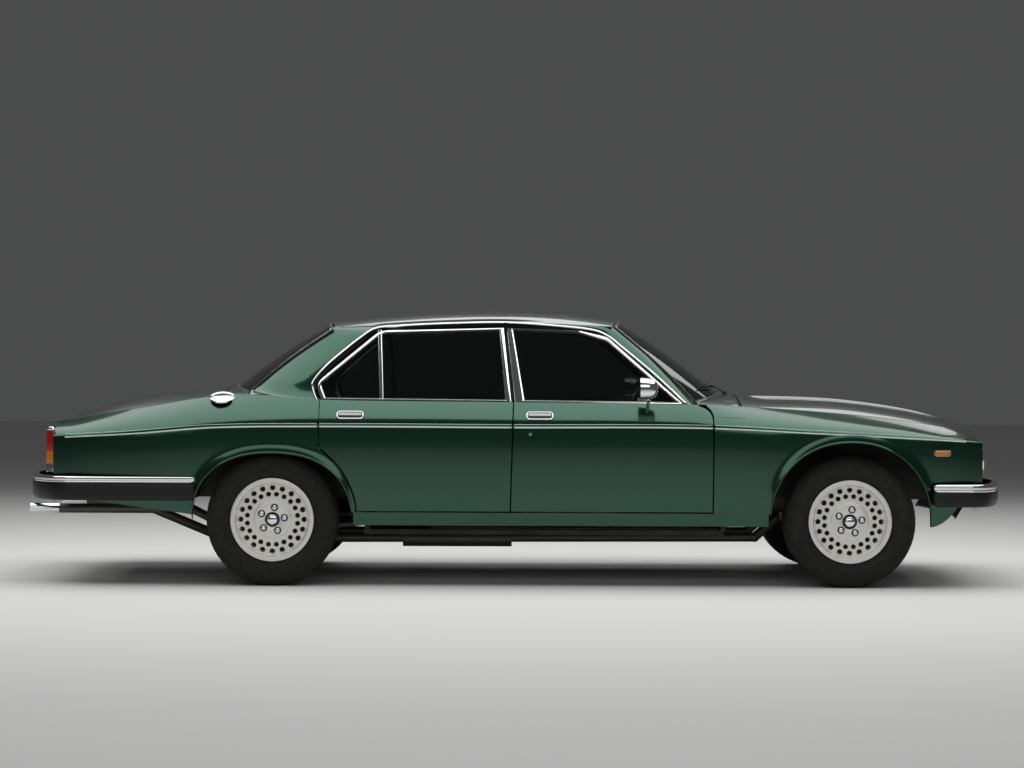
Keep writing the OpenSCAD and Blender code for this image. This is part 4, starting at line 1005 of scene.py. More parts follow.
# Each bumper's way, end by the wheel arch, corner, middle, foot, seam under the blade, blade's share of full height,
# place of the tow eye, and middle and length of its bracket
BUMPERS = (
    ("front", 1, x_fa + 405, 265, x_front, 405, 498, 1, (2359.5, 435, 392), (2390, 100)),
    ("rear", -1, x_ra - 378, 690, x_rear, 422, 526, 0.8, (-2355.5, 330, 402), (-2350, 180)),
)
blades = bmesh.new()
for end, way, x_end, x_corner, x_mid, foot, seam, share, (eye_x, eye_y, eye_z), (arm_x, arm_long) in BUMPERS:
    line = bumper_line(x_end, x_corner, way * (x_mid - x_end), way)
    tall = (seam - foot) / bumper_section[-1][1]
    bm, eyes = bmesh.new(), bmesh.new()
    bumper_bar(bm, line, [(a, foot + b * tall) for a, b in bumper_section], x_end)
    bumper_bar(blades, line, [(a, seam + 0.3 + b * share) for a, b in blade_section], x_end)
    for y in (-eye_y, eye_y):
        block(bm, (arm_long, 46, 26), shift((arm_x, y, 444)), 6)
        block(eyes, (50, 18, 30), shift((eye_x, y, eye_z + 32)), 3)
        turned(eyes, TOW_EYE, 32, shift((eye_x, y, eye_z)) @ spun(90, "X"), closed=True)
    piece(f"{end}_bumper_rubber", bm, black_rubber, "body", "black_trim", [f"{end}_bumper"])
    piece(f"{end}_tow_eyes", eyes, alloy, "body", "alloy")
piece("bumper_bright_blades", blades, chrome, "body", "bright_trim", ["bumper_blades"])

# Wheels: pierced castings on five nuts, and tyres with grooved treads
def disc_front(r):
    return mix(58, 56, (r - 92) / 84)


def disc_back(r):
    return mix(41, 43, (r - 108) / 68)


HOLES = 20


def pierced_ring(bm, r_in, r_out, r_hole, hole_r, turn):
    """Ring of holes. Each sector runs from its back edge through the hole to its front edge."""
    half = radians(180 / HOLES)
    corners = [(r_in, -half), (r_in, half), (r_out, half), (r_out, -half)]
    edge = []
    for k in range(24):
        a, b = corners[k // 6], corners[(k // 6 + 1) % 4]
        edge.append((mix(a[0], b[0], k % 6 / 6), mix(a[1], b[1], k % 6 / 6)))
    centre = Vector((r_hole, 0))
    for i in range(HOLES):
        spin = Matrix.Rotation(turn + radians(360 / HOLES * i), 2)

        def place(u, v):
            r, a = edge[round(u * 24) % 24]
            far = Vector((r * cos(a), r * sin(a)))
            ray = (far - centre).normalized()
            level = round(v * 6)
            near = centre + ray * (hole_r + (0, 1.5, 0, 0, 2, 2, 0)[level])
            point = (far, near, near, near, near, near.lerp(far, 0.5), far)[level]
            deep = level < 3
            h = disc_back(point.length) if deep else disc_front(point.length)
            h += (0, 0, 1.5, -2, 0, 0, 0)[level]
            point = spin @ point
            return Vector((point.x, point.y, h))

        grid(bm, 24, 6, place)


RIM = [
    (176, 56), (177.5, 57.5), (178.5, 62), (180, 64.5), (181.5, 66), (182, 72), (183, 80), (185.5, 84.2), (189, 85.2),
    (203, 85.2), (206.3, 83.5), (206.8, 80), (206, 76.3), (190, 76.3), (190, 45), (172, 25), (172, -35), (190, -55),
    (190, -76.3), (206, -76.3), (206.8, -80), (205, -85), (200, -85), (182, -70), (182, -58), (164, -38), (164, 28),
    (170, 39), (176, 43),
]
HUB = [
    (108, disc_front(108)), (100, 57.9), (96, 58.4), (93, 60), (91, 62.5), (88, 64), (82, 64.6), (40, 64.6), (37, 63),
    (35.5, 60), (35, 55), (20.2, 55), (20.2, -20), (70, -20), (76, -18), (82, 18), (96, 36), (100, 40), (108, 41),
]
BRAKE = [
    (20.3, -45), (140, -45), (140, -37), (124, -35), (140, -33), (140, -25), (75, -25), (72, -21.5), (20.3, -21.5),
]
CAP = [(0, 77.5), (10, 77), (18, 75.2), (24, 71.8), (27, 67), (27.5, 58), (0, 58)]
NUT = [(0, 15.5), (4, 15), (7.5, 12.8), (9.6, 9.4), (10, 6.5), (11.6, 6), (11.6, 0), (0, 0)]
# Painted shade: black rings round each nut's foot and in the hollow round the centre cap, and a black ring behind the
# holes so that they look dark
NUT_SHADE_RING = [(11, 0.2), (15, 1.2), (18, 0.9), (19, -0.4), (11, -0.4)]
CAP_SHADE_RING = [(27.8, 56), (27.8, 67), (31, 68), (34.2, 66.4), (34.8, 56)]
HOLE_SHADE_BACKING = [(96, 30), (130, 26), (163.5, 24), (163.5, 20), (130, 22), (96, 27)]
NUT_CIRCLE, NUT_SEAT = 60.325, 64.6
AXLES = {"front": (x_fa, 1480), "rear": (x_ra, 1495)}
SIDEWALL = [
    (190.6, 75.6), (206.5, 76), (210, 80), (214.5, 84.5), (216.5, 86.8), (218, 86.2), (224, 90), (232, 94.4),
    (240, 98), (241, 99.2), (243, 99.4), (244, 98.9), (253, 100.8), (264, 102), (280, 101.8), (291, 99.6),
    (292, 100.5), (294.5, 100), (295.5, 98.2), (304, 94.5), (312, 89.5), (318, 83.5), (322.5, 76.5),
]
RIBS = ((70, 49.5, 5, 0), (40.5, 19.5, 3, 0.5), (10.5, -10.5, 2.5, 0), (-19.5, -40.5, 3, 0.5), (-49.5, -70, 5, 0))


def tyre_outline():
    """Radius, place across, slot depth and slot phase round the tyre's section."""
    line = [(r, h, 0, 0) for r, h in SIDEWALL]
    for k, (a, b, slot, phase) in enumerate(RIBS):
        for h in spread(a, b, 3):
            line.append((328 - 2.6 * (h / 70) ** 2, h, slot, phase))
        if k < 4:
            for h in (b - 1.2, RIBS[k + 1][0] + 1.2):
                line.append((320.8 - 2.6 * (h / 70) ** 2, h, 0, 0))
    return line + [(r, -h, 0, 0) for r, h in reversed(SIDEWALL)]


def tyre(bm, matrix):
    line = tyre_outline()
    n, pitches = len(line), 60

    def place(u, v):
        k = round(u * pitches * 4) % (pitches * 4)
        r, h, slot, phase = line[round(v * n) % n]
        share = (0, 0.8, 0.83, 0.97)[k % 4]
        a = 2 * pi * (k // 4 + share + phase + 0.0035 * h) / pitches
        return polar(r - (slot if k % 4 > 1 else 0), a, h)

    verts = grid(bm, pitches * 4, n, place)
    bmesh.ops.remove_doubles(bm, verts=verts, dist=0.001)
    bmesh.ops.recalc_face_normals(bm, faces=bm.faces)
    bmesh.ops.transform(bm, matrix=matrix, verts=bm.verts)


def casting(bm, matrix):
    pierced_ring(bm, 141.5, 176, 157.5, 13.2, 0)
    pierced_ring(bm, 108, 141.5, 126, 12, radians(180 / HOLES))
    turned(bm, RIM, 120, Matrix.Identity(4))
    turned(bm, HUB, 120, Matrix.Identity(4))
    bmesh.ops.remove_doubles(bm, verts=bm.verts, dist=0.02)
    bmesh.ops.recalc_face_normals(bm, faces=bm.faces)
    bmesh.ops.transform(bm, matrix=matrix, verts=bm.verts)


for end, side in CORNERS:
    x_axle, track = AXLES[end]
    wheel, cover = f"wheel_{end}_{side}", f"tyre_{end}_{side}"
    hub = shift((x_axle, -track / 2, axle_z)) @ spun(90, "X")
    cast, bright, wheel_shade, disc, tread = (bmesh.new() for _ in range(5))
    casting(cast, hub)
    # The black rings round the nuts and the cap, and the black ring behind the holes, are painted shade
    for k in range(5):
        nut = hub @ shift(polar(NUT_CIRCLE, radians(8 + 72 * k), NUT_SEAT))
        turned(bright, NUT, 18, nut)
        turned(wheel_shade, NUT_SHADE_RING, 24, nut, closed=True)
    turned(bright, CAP, 40, hub)
    turned(wheel_shade, CAP_SHADE_RING, 40, hub, closed=True)
    turned(wheel_shade, HOLE_SHADE_BACKING, 48, hub, closed=True)
    turned(disc, BRAKE, 64, hub, closed=True)
    tyre(tread, hub)
    fit_side(side, wheel, [
        (f"{wheel}_casting", cast, alloy, "alloy", wheel),
        (f"{wheel}_nuts_and_cap", bright, chrome, "bright_trim"),
        (f"{wheel}_painted_shade_rings", wheel_shade, seal, "black_trim"),
        (f"{wheel}_brake_disc", disc, iron, "iron"),
        (f"{cover}_tread", tread, rubber, "tyre", cover)], sharp=30)

# Nose: fascia round the lamps and grille
LAMPS = ((half_w - 300, 634, 86), (half_w - 485, 650, 73))
GRILLE_HALF, GRILLE_LOW, GRILLE_TOP = half_w - 585, 530, 730
NOSE_LOW, NOSE_ROUND = 500, 4320
LAMP_SEAM = 490
INDICATOR_Z = 543
REPEATER_X, REPEATER_Z = x_fa + 455, 671


def nose_x(y):
    return x_nose - 6 - NOSE_ROUND + sqrt(NOSE_ROUND**2 - y * y)


def nose_top(y):
    return mix(754, 746, y / 400) if y < 400 else mix(746, 727, (y - 400) / 190)


def dense(points, gap=22.0):
    """Closed outline with its long sides cut into short ones."""
    out = []
    for k, a in enumerate(points):
        a, b = Vector(a), Vector(points[(k + 1) % len(points)])
        count = max(1, round((b - a).length / gap))
        out += [a.lerp(b, i / count) for i in range(count)]
    return out


def nose_sheet(q):
    return Vector((nose_x(q.x), -q.x, q.y))


def holed(bm, edge, centre, r):
    """Sheet between a round hole and an outline, rolled in at the hole."""
    c, n = Vector(centre), len(edge)

    def place(u, v):
        far = edge[round(u * n) % n]
        ray = (far - c).normalized()
        level = round(v * 5)
        near = c + ray * (r + (0, 0, 2.5, 2.5, 2.5, 0)[level])
        point = near.lerp(far, (0, 0, 0, 0.34, 0.67, 1)[level])
        return nose_sheet(point) - Vector(((16, 2.5, 0, 0, 0, 0)[level], 0, 0))

    grid(bm, n, 5, place)


wing_inside = [(side_y(x_nose_side, z) - 10, z) for z in (NOSE_LOW, 560, 620, 680, 715, 732, 740, 746)]
seam_foot, seam_head = (LAMP_SEAM, NOSE_LOW), (LAMP_SEAM, nose_top(LAMP_SEAM))
inner_cell = [(GRILLE_HALF, NOSE_LOW), seam_foot, seam_head, (400, nose_top(400)),
              (GRILLE_HALF, nose_top(GRILLE_HALF)), (GRILLE_HALF, GRILLE_TOP), (GRILLE_HALF, GRILLE_LOW)]
outer_cell = [seam_foot] + wing_inside + [(600, 730), (545, 731), seam_head]
bm = bmesh.new()
holed(bm, dense(inner_cell), LAMPS[1][:2], LAMPS[1][2] + 3)
holed(bm, dense(outer_cell), LAMPS[0][:2], LAMPS[0][2] + 3)
grid(bm, 14, 1, lambda u, v: nose_sheet(Vector((u * GRILLE_HALF, mix(NOSE_LOW, GRILLE_LOW, v)))))
grid(bm, 14, 1, lambda u, v: nose_sheet(Vector((u * GRILLE_HALF, mix(GRILLE_TOP, nose_top(u * GRILLE_HALF), v)))))
mirrored(bm)
bmesh.ops.remove_doubles(bm, verts=bm.verts, dist=0.05)
bmesh.ops.recalc_face_normals(bm, faces=bm.faces)
aim(bm, bm.verts, FORWARD)
piece("nose_fascia", bm, paint, "body", "paint", ["nose_panel"], wall=5, soften=1.5)

ahead = spun(90, "Y")
bezels, bowls, lenses, shades = bmesh.new(), bmesh.new(), bmesh.new(), bmesh.new()
for y, z, r in LAMPS:
    at = shift((nose_x(y), -y, z)) @ ahead
    ring = [(r - 7, 3), (r - 4, 8.5), (r + 1, 10.5), (r + 6, 8), (r + 8.5, 2), (r + 8.5, -5), (r - 7, -5)]
    turned(bezels, ring, 64, at, closed=True)
    turned(bowls, [(0, -52), (16, -50.5), (34, -44), (r * 0.7, -28), (r - 10, -8), (r - 5, -1)], 64, at)
    face = [(r * t, 12 - 11 * t**2.2) for t in (0, 0.2, 0.4, 0.6, 0.8, 0.93)]
    turned(lenses, face + [(a, b - 4) for a, b in reversed(face)], 64, at)
    turned(shades, [(0, -12), (7, -13.5), (11, -18), (12, -26), (12, -40), (0, -40)], 24, at)
for name, bm, mat, slot, stands_for, wall in (
        ("bezels", bezels, chrome, "bright_trim", [], 0),
        ("bowls", bowls, reflector, "bright_trim", [], 1.5),
        ("lenses", lenses, clear, "clear_lens", ["headlamps"], 0),
        ("shades", shades, chrome, "bright_trim", [], 0)):
    mirrored(bm)
    piece(f"headlamp_{name}", bm, mat, "body", slot, stands_for, wall=wall)

grille_path = rounded([(-289, 541), (289, 541), (289, 719), (-289, 719)], (12, 12, 42, 42), 8)
bm = bmesh.new()
grille_rim = [Vector((x_nose - 12, p.x, p.y)) for p in dense(grille_path, 60)]
sweep(bm, grille_rim, oval(24, 38, 16, 3), FORWARD, closed=True)
for k in range(-13, 14):
    y = k * 20.6
    tall = 716 - max(0.0, abs(y) - 250) * 0.5
    wide = 13 if k == 0 else 4.6
    sweep(bm, [Vector((x_nose - 16, y, z)) for z in spread(546, tall, 6)], oval(wide, 30, 12, 2.4), FORWARD)
piece("grille_bright", bm, chrome, "body", "bright_trim", ["grille"])
bm = bmesh.new()
block(bm, (10, 600, 215), shift((x_nose - 62, 0, 628)), 2)
for k in range(-24, 25):
    block(bm, (5, 3, 205), shift((x_nose - 55, k * 12, 628)))
piece("radiator_screen", bm, black_plastic, "body", "black_trim")

# Front indicators under the lamps and repeaters on the wings
bm = bmesh.new()
turn = atan2(LAMP_SEAM, NOSE_ROUND)
indicator_at = shift((nose_x(LAMP_SEAM) + 9, -LAMP_SEAM, INDICATOR_Z)) @ Matrix.Rotation(-turn, 4, "Z")
block(bm, (22, 128, 34), indicator_at, 9, 4)


def repeater(u, v, lift):
    a, b = 2 * u - 1, 2 * v - 1
    z = REPEATER_Z + 13 * b * sqrt(max(0.0, 1 - max(0.0, (abs(a) - 0.72) / 0.28) ** 2))
    return skin(REPEATER_X + 40 * a, z, 0.6 + lift * (1 - a**6) * (1 - b**4))


slab(bm, 24, 8, lambda u, v: repeater(u, v, 9), lambda u, v: repeater(u, v, 0))
mirrored(bm)
piece("amber_lamps", bm, amber, "body", "amber_lens", ["indicator_lamps"])
bm = bmesh.new()
edge = [Vector((nose_x(LAMP_SEAM) + 2 - p.x * sin(turn), -LAMP_SEAM - p.x * cos(turn), INDICATOR_Z + p.y))
        for p in rounded([(-68, -21), (68, -21), (68, 21), (-68, 21)], (12,) * 4, 5)]
sweep(bm, edge, oval(6, 8, 10), FORWARD, closed=True)
rim = [skin(REPEATER_X + p.x, REPEATER_Z + p.y, 1)
       for p in rounded([(-41, -14), (41, -14), (41, 14), (-41, 14)], (11,) * 4, 6)]
sweep(bm, rim, oval(3, 4, 8), OUTWARD, closed=True)
mirrored(bm)
piece("indicator_rims", bm, chrome, "body", "bright_trim")

# Valance under the front bumper
def valance_point(u, v):
    y = mix(-655, 655, u)
    return Vector((nose_x(y) - mix(45, 120, v**0.8), y, mix(440, 335, v)))


bm = bmesh.new()
aim(bm, grid(bm, 40, 10, valance_point), Vector((1, 0, -0.3)))
piece("front_valance", bm, black_plastic, "body", "black_trim", wall=3)

# Tail: panel, lamp clusters, tailpipe ends and fuel fillers
TAIL_HALF, TAIL_ROUND = 742, 7400


def tail_sheet(u, v):
    y = mix(-TAIL_HALF, TAIL_HALF, u)
    return Vector((x_tail + TAIL_ROUND - sqrt(TAIL_ROUND**2 - y * y), y, mix(458.5, 566, v)))


bm = bmesh.new()
aim(bm, grid(bm, 40, 6, tail_sheet), Vector((-1, 0, 0)))
piece("tail_panel_skin", bm, paint, "body", "paint", ["tail_panel"], wall=8, soften=1.5)

lamp_plan = dense(rounded([(x_tail_side - 0.6, 128 - half_w), (x_tail_side - 0.6, 258 - half_w),
                           (x_tail - 8, 258 - half_w), (x_tail - 8, 146 - half_w)], (4, 2, 12, 30), 7), 14)
lamp_mid = sum(lamp_plan, Vector((0, 0))) / len(lamp_plan)


def lamp_tier(bm, levels):
    """Closed tier of a lamp cluster: pairs of height and share of the plan."""
    n, k = len(lamp_plan), len(levels) - 1

    def place(u, v):
        z, share = levels[round(v * k)]
        p = lamp_mid.lerp(lamp_plan[round(u * n) % n], share)
        return Vector((max(p.x, x_tail - 8) if share > 0.99 else p.x, p.y, z))

    verts = grid(bm, n, k, place)
    bmesh.ops.remove_doubles(bm, verts=verts, dist=0.001)
    bmesh.ops.recalc_face_normals(bm, faces=faces_of([v for v in verts if v.is_valid]))


TIERS = (
    ("chrome", chrome, "bright_trim", [], (
        ((556, 0), (556, 0.97), (560, 1.05), (574, 1.06), (579, 1.02), (579, 0)),
        ((765, 0), (765, 1.01), (770, 1.03), (777, 0.97), (782, 0.75), (784, 0)))),
    ("clear", clear, "clear_lens", [], (
        ((579.2, 0), (579.2, 0.98), (589, 1.0), (598.6, 0.98), (598.6, 0)),)),
    ("amber", amber, "amber_lens", [], (
        ((599, 0), (599, 0.98), (606, 1.0), (650, 1.0), (657.6, 0.98), (657.6, 0)),)),
    ("red", red, "red_lens", ["tail_lamps"], (
        ((658, 0), (658, 0.98), (666, 1.0), (758, 1.0), (764.8, 0.98), (764.8, 0)),)),
)
for name, mat, slot, stands_for, stacks in TIERS:
    bm = bmesh.new()
    for levels in stacks:
        lamp_tier(bm, levels)
    mirrored(bm)
    piece(f"tail_lamp_{name}", bm, mat, "body", slot, stands_for)

bm = bmesh.new()
astern = shift((x_rear + 6, -430, 360)) @ ahead
turned(bm, [(22.5, 0), (24.5, -1.5), (27, 0.5), (27, 150), (24.6, 150), (22.5, 146)], 40, astern, closed=True)
mirrored(bm)
piece("tailpipe_ends", bm, chrome, "body", "bright_trim")

bm = bmesh.new()
x = -1463
y, z = shoulder_y(x) - 2, shoulder_z(x)
seat = shift((x, -y - 26, z - 7)) @ Vector((0, -0.42, 1)).to_track_quat("Z", "Y").to_matrix().to_4x4()
turned(bm, [(0, 9), (20, 8.6), (40, 7), (50, 4.4), (54, 1.5), (58, 2.6), (62, 0.5), (62, -8), (0, -8)], 48, seat)
mirrored(bm)
piece("fuel_fillers", bm, chrome, "body", "bright_trim")

# Wipers and the sunroof's seam
bm = bmesh.new()
screen_out = Vector((0.62, 0, 0.78))
for a, b, pivot in ((0.20, 0.50, 0.30), (0.56, 0.86, 0.66)):
    blade = [screen_point(mix(a, b, t), 0.075 + 0.05 * t) + screen_out * 13 for t in spread(0, 1, 12)]
    sweep(bm, blade, oval(7, 12, 8), screen_out)
    foot = screen_point(pivot, 0) + Vector((34, 0, 10))
    arm = smooth_path([foot, foot + Vector((-20, -20, 18)), blade[5] + screen_out * 9, blade[6] + screen_out * 7], 5)
    sweep(bm, arm, oval(11, 7, 8, 3), screen_out)
    turned(bm, [(0, 16), (8, 15), (11, 10), (12, -14), (0, -14)], 20, shift(foot))
piece("wipers", bm, black_plastic, "body", "black_trim")
bm = bmesh.new()
hatch = dense(rounded([(-134, -410), (252, -410), (252, 410), (-134, 410)], (45,) * 4, 6), 40)
sweep(bm, [Vector((p.x, p.y, roof_z(p.x, p.y) + 0.2)) for p in hatch], oval(6, 3, 8), UP, closed=True)
piece("sunroof_seal", bm, seal, "body", "black_trim")

# Posts and linings of the side frames
bm = bmesh.new()
post = [lean(mix(x_b + 24, x_b - 28, t), mix(885, window_top + 12, t), 51) for t in spread(0, 1, 8)]
sweep(bm, post, oval(68, 26, 16, 5), lean_out)
sweep(bm, smooth_path([lean(x, z - 4, 48) for x, z in rail_line[1:]], 5), oval(44, 30, 12, 4), lean_out)
block(bm, (86, 56, 560), shift((x_b - 5, -662, 648)), 10, 3)
mirrored(bm)
piece("door_posts", bm, seal, "body", "black_trim", ["side_frames"])


def pillar_lining(u, v):
    return pillar(mix(0.02, 0.94, u), v) + Vector((6, 34, 0))


def post_lining(u, v):
    return post_point(mix(0.05, 0.95, u), mix(0.02, 0.96, v)) + Vector((-8, 16, -6))


bm = bmesh.new()
aim(bm, grid(bm, 12, 24, pillar_lining), Vector((0, 1, -0.2)))
aim(bm, grid(bm, 6, 40, post_lining), Vector((-0.3, 1, -0.3)))
mirrored(bm)


def headlining(u, v):
    y = mix(-1, 1, v) * (roof_half - 42)
    x = mix(roof_rear(y) + 24, roof_front(y) - 24, u)
    return Vector((x, y, roof_z(x, y) - 24))


aim(bm, grid(bm, 40, 32, headlining), Vector((0, 0, -1)))
piece("headlining", bm, headcloth, "body", "hide", wall=3)

# Seats: crowned hide cushions with sewn flutes
def cushion(bm, half, matrix, flutes=0, bolster=0.0, cuts=30, power=5.0):
    """Closed pad with rounded sides; flutes are channels along x on its top, bolsters its raised flanks."""
    bmesh.ops.create_cube(bm, size=2.0)
    bmesh.ops.subdivide_edges(bm, edges=bm.edges[:], cuts=cuts, use_grid_fill=True)
    for v in bm.verts:
        a, b, c = v.co
        shrink = (abs(a) ** power + abs(b) ** power + abs(c) ** power) ** (-1 / power)
        p = v.co * shrink
        pull = 1 - 0.035 * (1 - p.x * p.x) - 0.035 * (1 - p.y * p.y)
        x = p.x * half[0] * (pull if abs(p.x) > 0.8 else 1)
        y = p.y * half[1] * (pull if abs(p.y) > 0.8 else 1)
        z = p.z * half[2]
        if p.z > 0.5:
            inside = ease((0.72 - abs(p.y)) / 0.1) * ease((0.9 - abs(p.x)) / 0.12)
            z += 12 * (1 - p.x * p.x) * (1 - p.y * p.y)
            z += bolster * ease((abs(p.y) - 0.64) / 0.2)
            if flutes:
                z -= 9 * inside * abs(cos(pi * flutes * (p.y + 0.72) / 1.44)) ** 10
            z -= 7 * max(0.0, 1 - abs(abs(p.y) - 0.76) / 0.045) * ease((0.92 - abs(p.x)) / 0.1)
        v.co = matrix @ Vector((x, y, z))
    bmesh.ops.recalc_face_normals(bm, faces=bm.faces[:])


SEAT_Y = 382
SEATS = []
for side, y, stands_for in (("right", -SEAT_Y, ["front_seats"]), ("left", SEAT_Y, [])):
    SEATS += [
        (f"front_seat_{side}_cushion", (246, 238, 66), tilted(x_b + 312, y, 408, -3), 7, 16, stands_for),
        (f"front_seat_{side}_backrest", (222, 238, 52), tilted(x_b - 14, y, 656, -105.7), 7, 16, []),
        (f"front_seat_{side}_headrest", (60, 112, 34), tilted(x_b - 78, y, 932, -105.7), 0, 0, []),
    ]
SEATS += [
    ("rear_seat_cushion", (152, 555, 58), tilted(-588, 0, 408, -4), 17, 10, ["rear_seat"]),
    ("rear_seat_backrest", (205, 555, 44), tilted(-888, 0, 668, -100.3), 17, 10, []),
]
for name, half, matrix, flutes, bolster, stands_for in SEATS:
    bm = bmesh.new()
    cushion(bm, half, matrix, flutes, bolster, 52 if half[1] > 300 else 34 if flutes else 14)
    piece(name, bm, hide, "body", "hide", stands_for, sharp=60)
bm = bmesh.new()
for y in (-SEAT_Y, SEAT_Y):
    block(bm, (380, 360, 66), shift((x_b + 310, y, 309)), 8)
    for k in (-60, 60):
        sweep(bm, [Vector((x_b - 66, y + k, 862)), Vector((x_b - 80, y + k, 910))], oval(11, 11, 10), FORWARD)
block(bm, (262, 1100, 78), shift((-585, 0, 316)), 8)
piece("seat_plinths", bm, black_plastic, "body", "black_trim")

# Dashboard, dials and steering wheel
dash = rounded([(762, 640), (800, 562), (959, 542), (1092, 640), (1092, 836), (959, 877), (802, 852), (758, 800)],
               (18, 30, 30, 4, 4, 30, 22, 18), 5)
bm = bmesh.new()
sweep(bm, [Vector((0, y, 0)) for y in spread(-632, 632, 24)], [(p.x, p.y) for p in dash], UP)
column = Vector((569.5, -370, 800))
reach = Vector((cos(radians(24)), 0, -sin(radians(24))))
sweep(bm, [column + reach * t for t in (4, 60, 120, 255)], oval(30, 30, 16), UP)
sweep(bm, [column + reach * t for t in (70, 90, 200, 235)], oval(64, 74, 16, 3), UP)
piece("dashboard_body", bm, black_plastic, "body", "black_trim", ["dashboard"])
bm = bmesh.new()


def fascia_face(u, v, out):
    y, z = mix(-612, 612, u), mix(662, 792, v)
    return Vector((mix(757, 753.5, v) - out * (1 - (2 * u - 1) ** 20) * (1 - (2 * v - 1) ** 12) - 0.5, y, z))


slab(bm, 60, 16, lambda u, v: fascia_face(u, v, 9), lambda u, v: fascia_face(u, v, 0))
block(bm, (430, 150, 30), shift((400, 0, 528)), 10, 3)
piece("walnut_fascia", bm, walnut, "body", "walnut", soften=2)
DIALS = ((-462, 728, 56), (-286, 728, 56), (-150, 752, 28), (-80, 752, 28), (80, 752, 28), (150, 752, 28))
aft = spun(-90, "Y")
rings, faces, hands = bmesh.new(), bmesh.new(), bmesh.new()
for y, z, r in DIALS:
    at = shift((747, y, z)) @ aft
    turned(rings, [(r - 4, 2), (r - 2, 7), (r + 2, 8), (r + 5, 4), (r + 5, -4), (r - 4, -4)], 40, at, True)
    turned(faces, [(0, 3.2), (r - 4, 3.2), (r - 3.5, 0), (0, 0)], 40, at)
    for k in range(-5, 6):
        tick = at @ spun(k * 24, "Z") @ shift((r * 0.8, 0, 3.4))
        block(hands, (r * 0.14, r * 0.035, 0.8), tick)
    block(hands, (r * 0.66, r * 0.05, 1), at @ spun(-100, "Z") @ shift((r * 0.28, 0, 4.4)))
block(rings, (8, 70, 10), shift((744, 380, 690)), 3)
for name, bm, mat, slot in (("dial_rings", rings, chrome, "bright_trim"),
                            ("dial_faces", faces, black_plastic, "black_trim"),
                            ("dial_marks", hands, dial_white, "bright_trim")):
    piece(name, bm, mat, "body", slot)

wheel_at = shift(column) @ spun(-66, "Y")
bm = bmesh.new()
turned(bm, [(190 + p[0], p[1]) for p in oval(26, 24, 16)], 72, wheel_at, closed=True)
turned(bm, [(0, 22), (28, 20), (42, 14), (46, 4), (44, -14), (16, -16), (16, 6), (0, 6)], 40, wheel_at)
for k in range(3):
    turn = wheel_at @ spun(120 * k, "Z")
    spoke = [turn @ Vector((r, 0, h)) for r, h in ((36, 8), (80, 9), (130, 6), (182, 0))]
    sweep(bm, spoke, oval(30, 9, 12, 3), turn.to_3x3() @ UP)
piece("steering_wheel_rim", bm, black_plastic, "steering_wheel", "black_trim", ["steering_wheel"])

# Console, gear lever, interior mirror and carpets
bm = bmesh.new()
block(bm, (560, 170, 100), shift((400, 0, 468)), 16, 3)
block(bm, (300, 160, 60), shift((60, 0, 500)), 18, 3)
piece("centre_console", bm, hide, "body", "hide")
bm = bmesh.new()
sweep(bm, [Vector((470, 0, 535)), Vector((462, 0, 580)), Vector((450, 0, 630))], oval(11, 11, 10), FORWARD)
turned(bm, [(0, 26), (14, 22), (19, 8), (17, -6), (8, -14), (0, -14)], 24, shift((449, 0, 640)))
block(bm, (24, 220, 58), tilted(505, 0, 1262, -12), 9, 3)
sweep(bm, [Vector((515, 0, 1275)), Vector((530, 0, 1322))], oval(14, 14, 10), FORWARD)
piece("lever_and_mirror", bm, black_plastic, "body", "black_trim")
bm = bmesh.new()
block(bm, (2, 206, 46), tilted(492.5, 0, 1259.5, -12), 0.8)
piece("mirror_face", bm, reflector, "body", "bright_trim")


def carpet_point(u, v, lift):
    x, y = mix(-424, 1018, u), mix(-668, 668, v)
    return Vector((x, y, 276 + lift + 143 * ease((168 - abs(y)) / 34)))


bm = bmesh.new()
slab(bm, 30, 76, lambda u, v: carpet_point(u, v, 7), lambda u, v: carpet_point(u, v, 0.6))
block(bm, (440, 1110, 5), shift((x_ra - 20, 0, 914)), 2)
block(bm, (1205, 1090, 5), shift((x_ra - 430, 0, 459)), 2)
piece("carpets", bm, carpet, "body", "hide")

# Boot linings from the floor to the wings
def boot_side(u, v, lift):
    x = mix(x_tail_side + 22, boot_front - 30, u)
    low, waist = Vector((x, -562, 458)), Vector((x, -584, 700))
    head = Vector((x, -lid_half(x) - 12, shoulder_z(x) - 16))
    p = low.lerp(waist, v / 0.5) if v < 0.5 else waist.lerp(head, (v - 0.5) / 0.5)
    return p + Vector((0, lift * 5, 0))


bm = bmesh.new()
slab(bm, 24, 12, lambda u, v: boot_side(u, v, 1), lambda u, v: boot_side(u, v, 0))
mirrored(bm)
piece("boot_linings", bm, carpet, "body", "hide")

# Bright plinth and lock on the boot lid
bm = bmesh.new()
plinth = [Vector((tail_x(y) - 3, y, 752)) for y in spread(-230, 230, 24)]
sweep(bm, plinth, oval(16, 30, 16, 3), UP)
turned(bm, [(0, 9), (10, 8), (14, 4), (15, -4), (0, -4)], 24, shift((tail_x(0) - 3, 0, 700)) @ aft)
piece("boot_plinth", bm, chrome, "boot_lid", "bright_trim")

# Braces under the bonnet
bm = bmesh.new()
for v in (0.3, 0.7):
    sweep(bm, [bonnet_point(u, v) - Vector((0, 0, 23)) for u in spread(0.06, 0.9, 24)], oval(64, 16, 12, 4), UP)
for u in (0.1, 0.5, 0.88):
    sweep(bm, [bonnet_point(u, v) - Vector((0, 0, 23)) for v in spread(0.08, 0.92, 24)], oval(64, 15, 12, 4), UP)
piece("bonnet_braces", bm, paint, "bonnet", "paint")

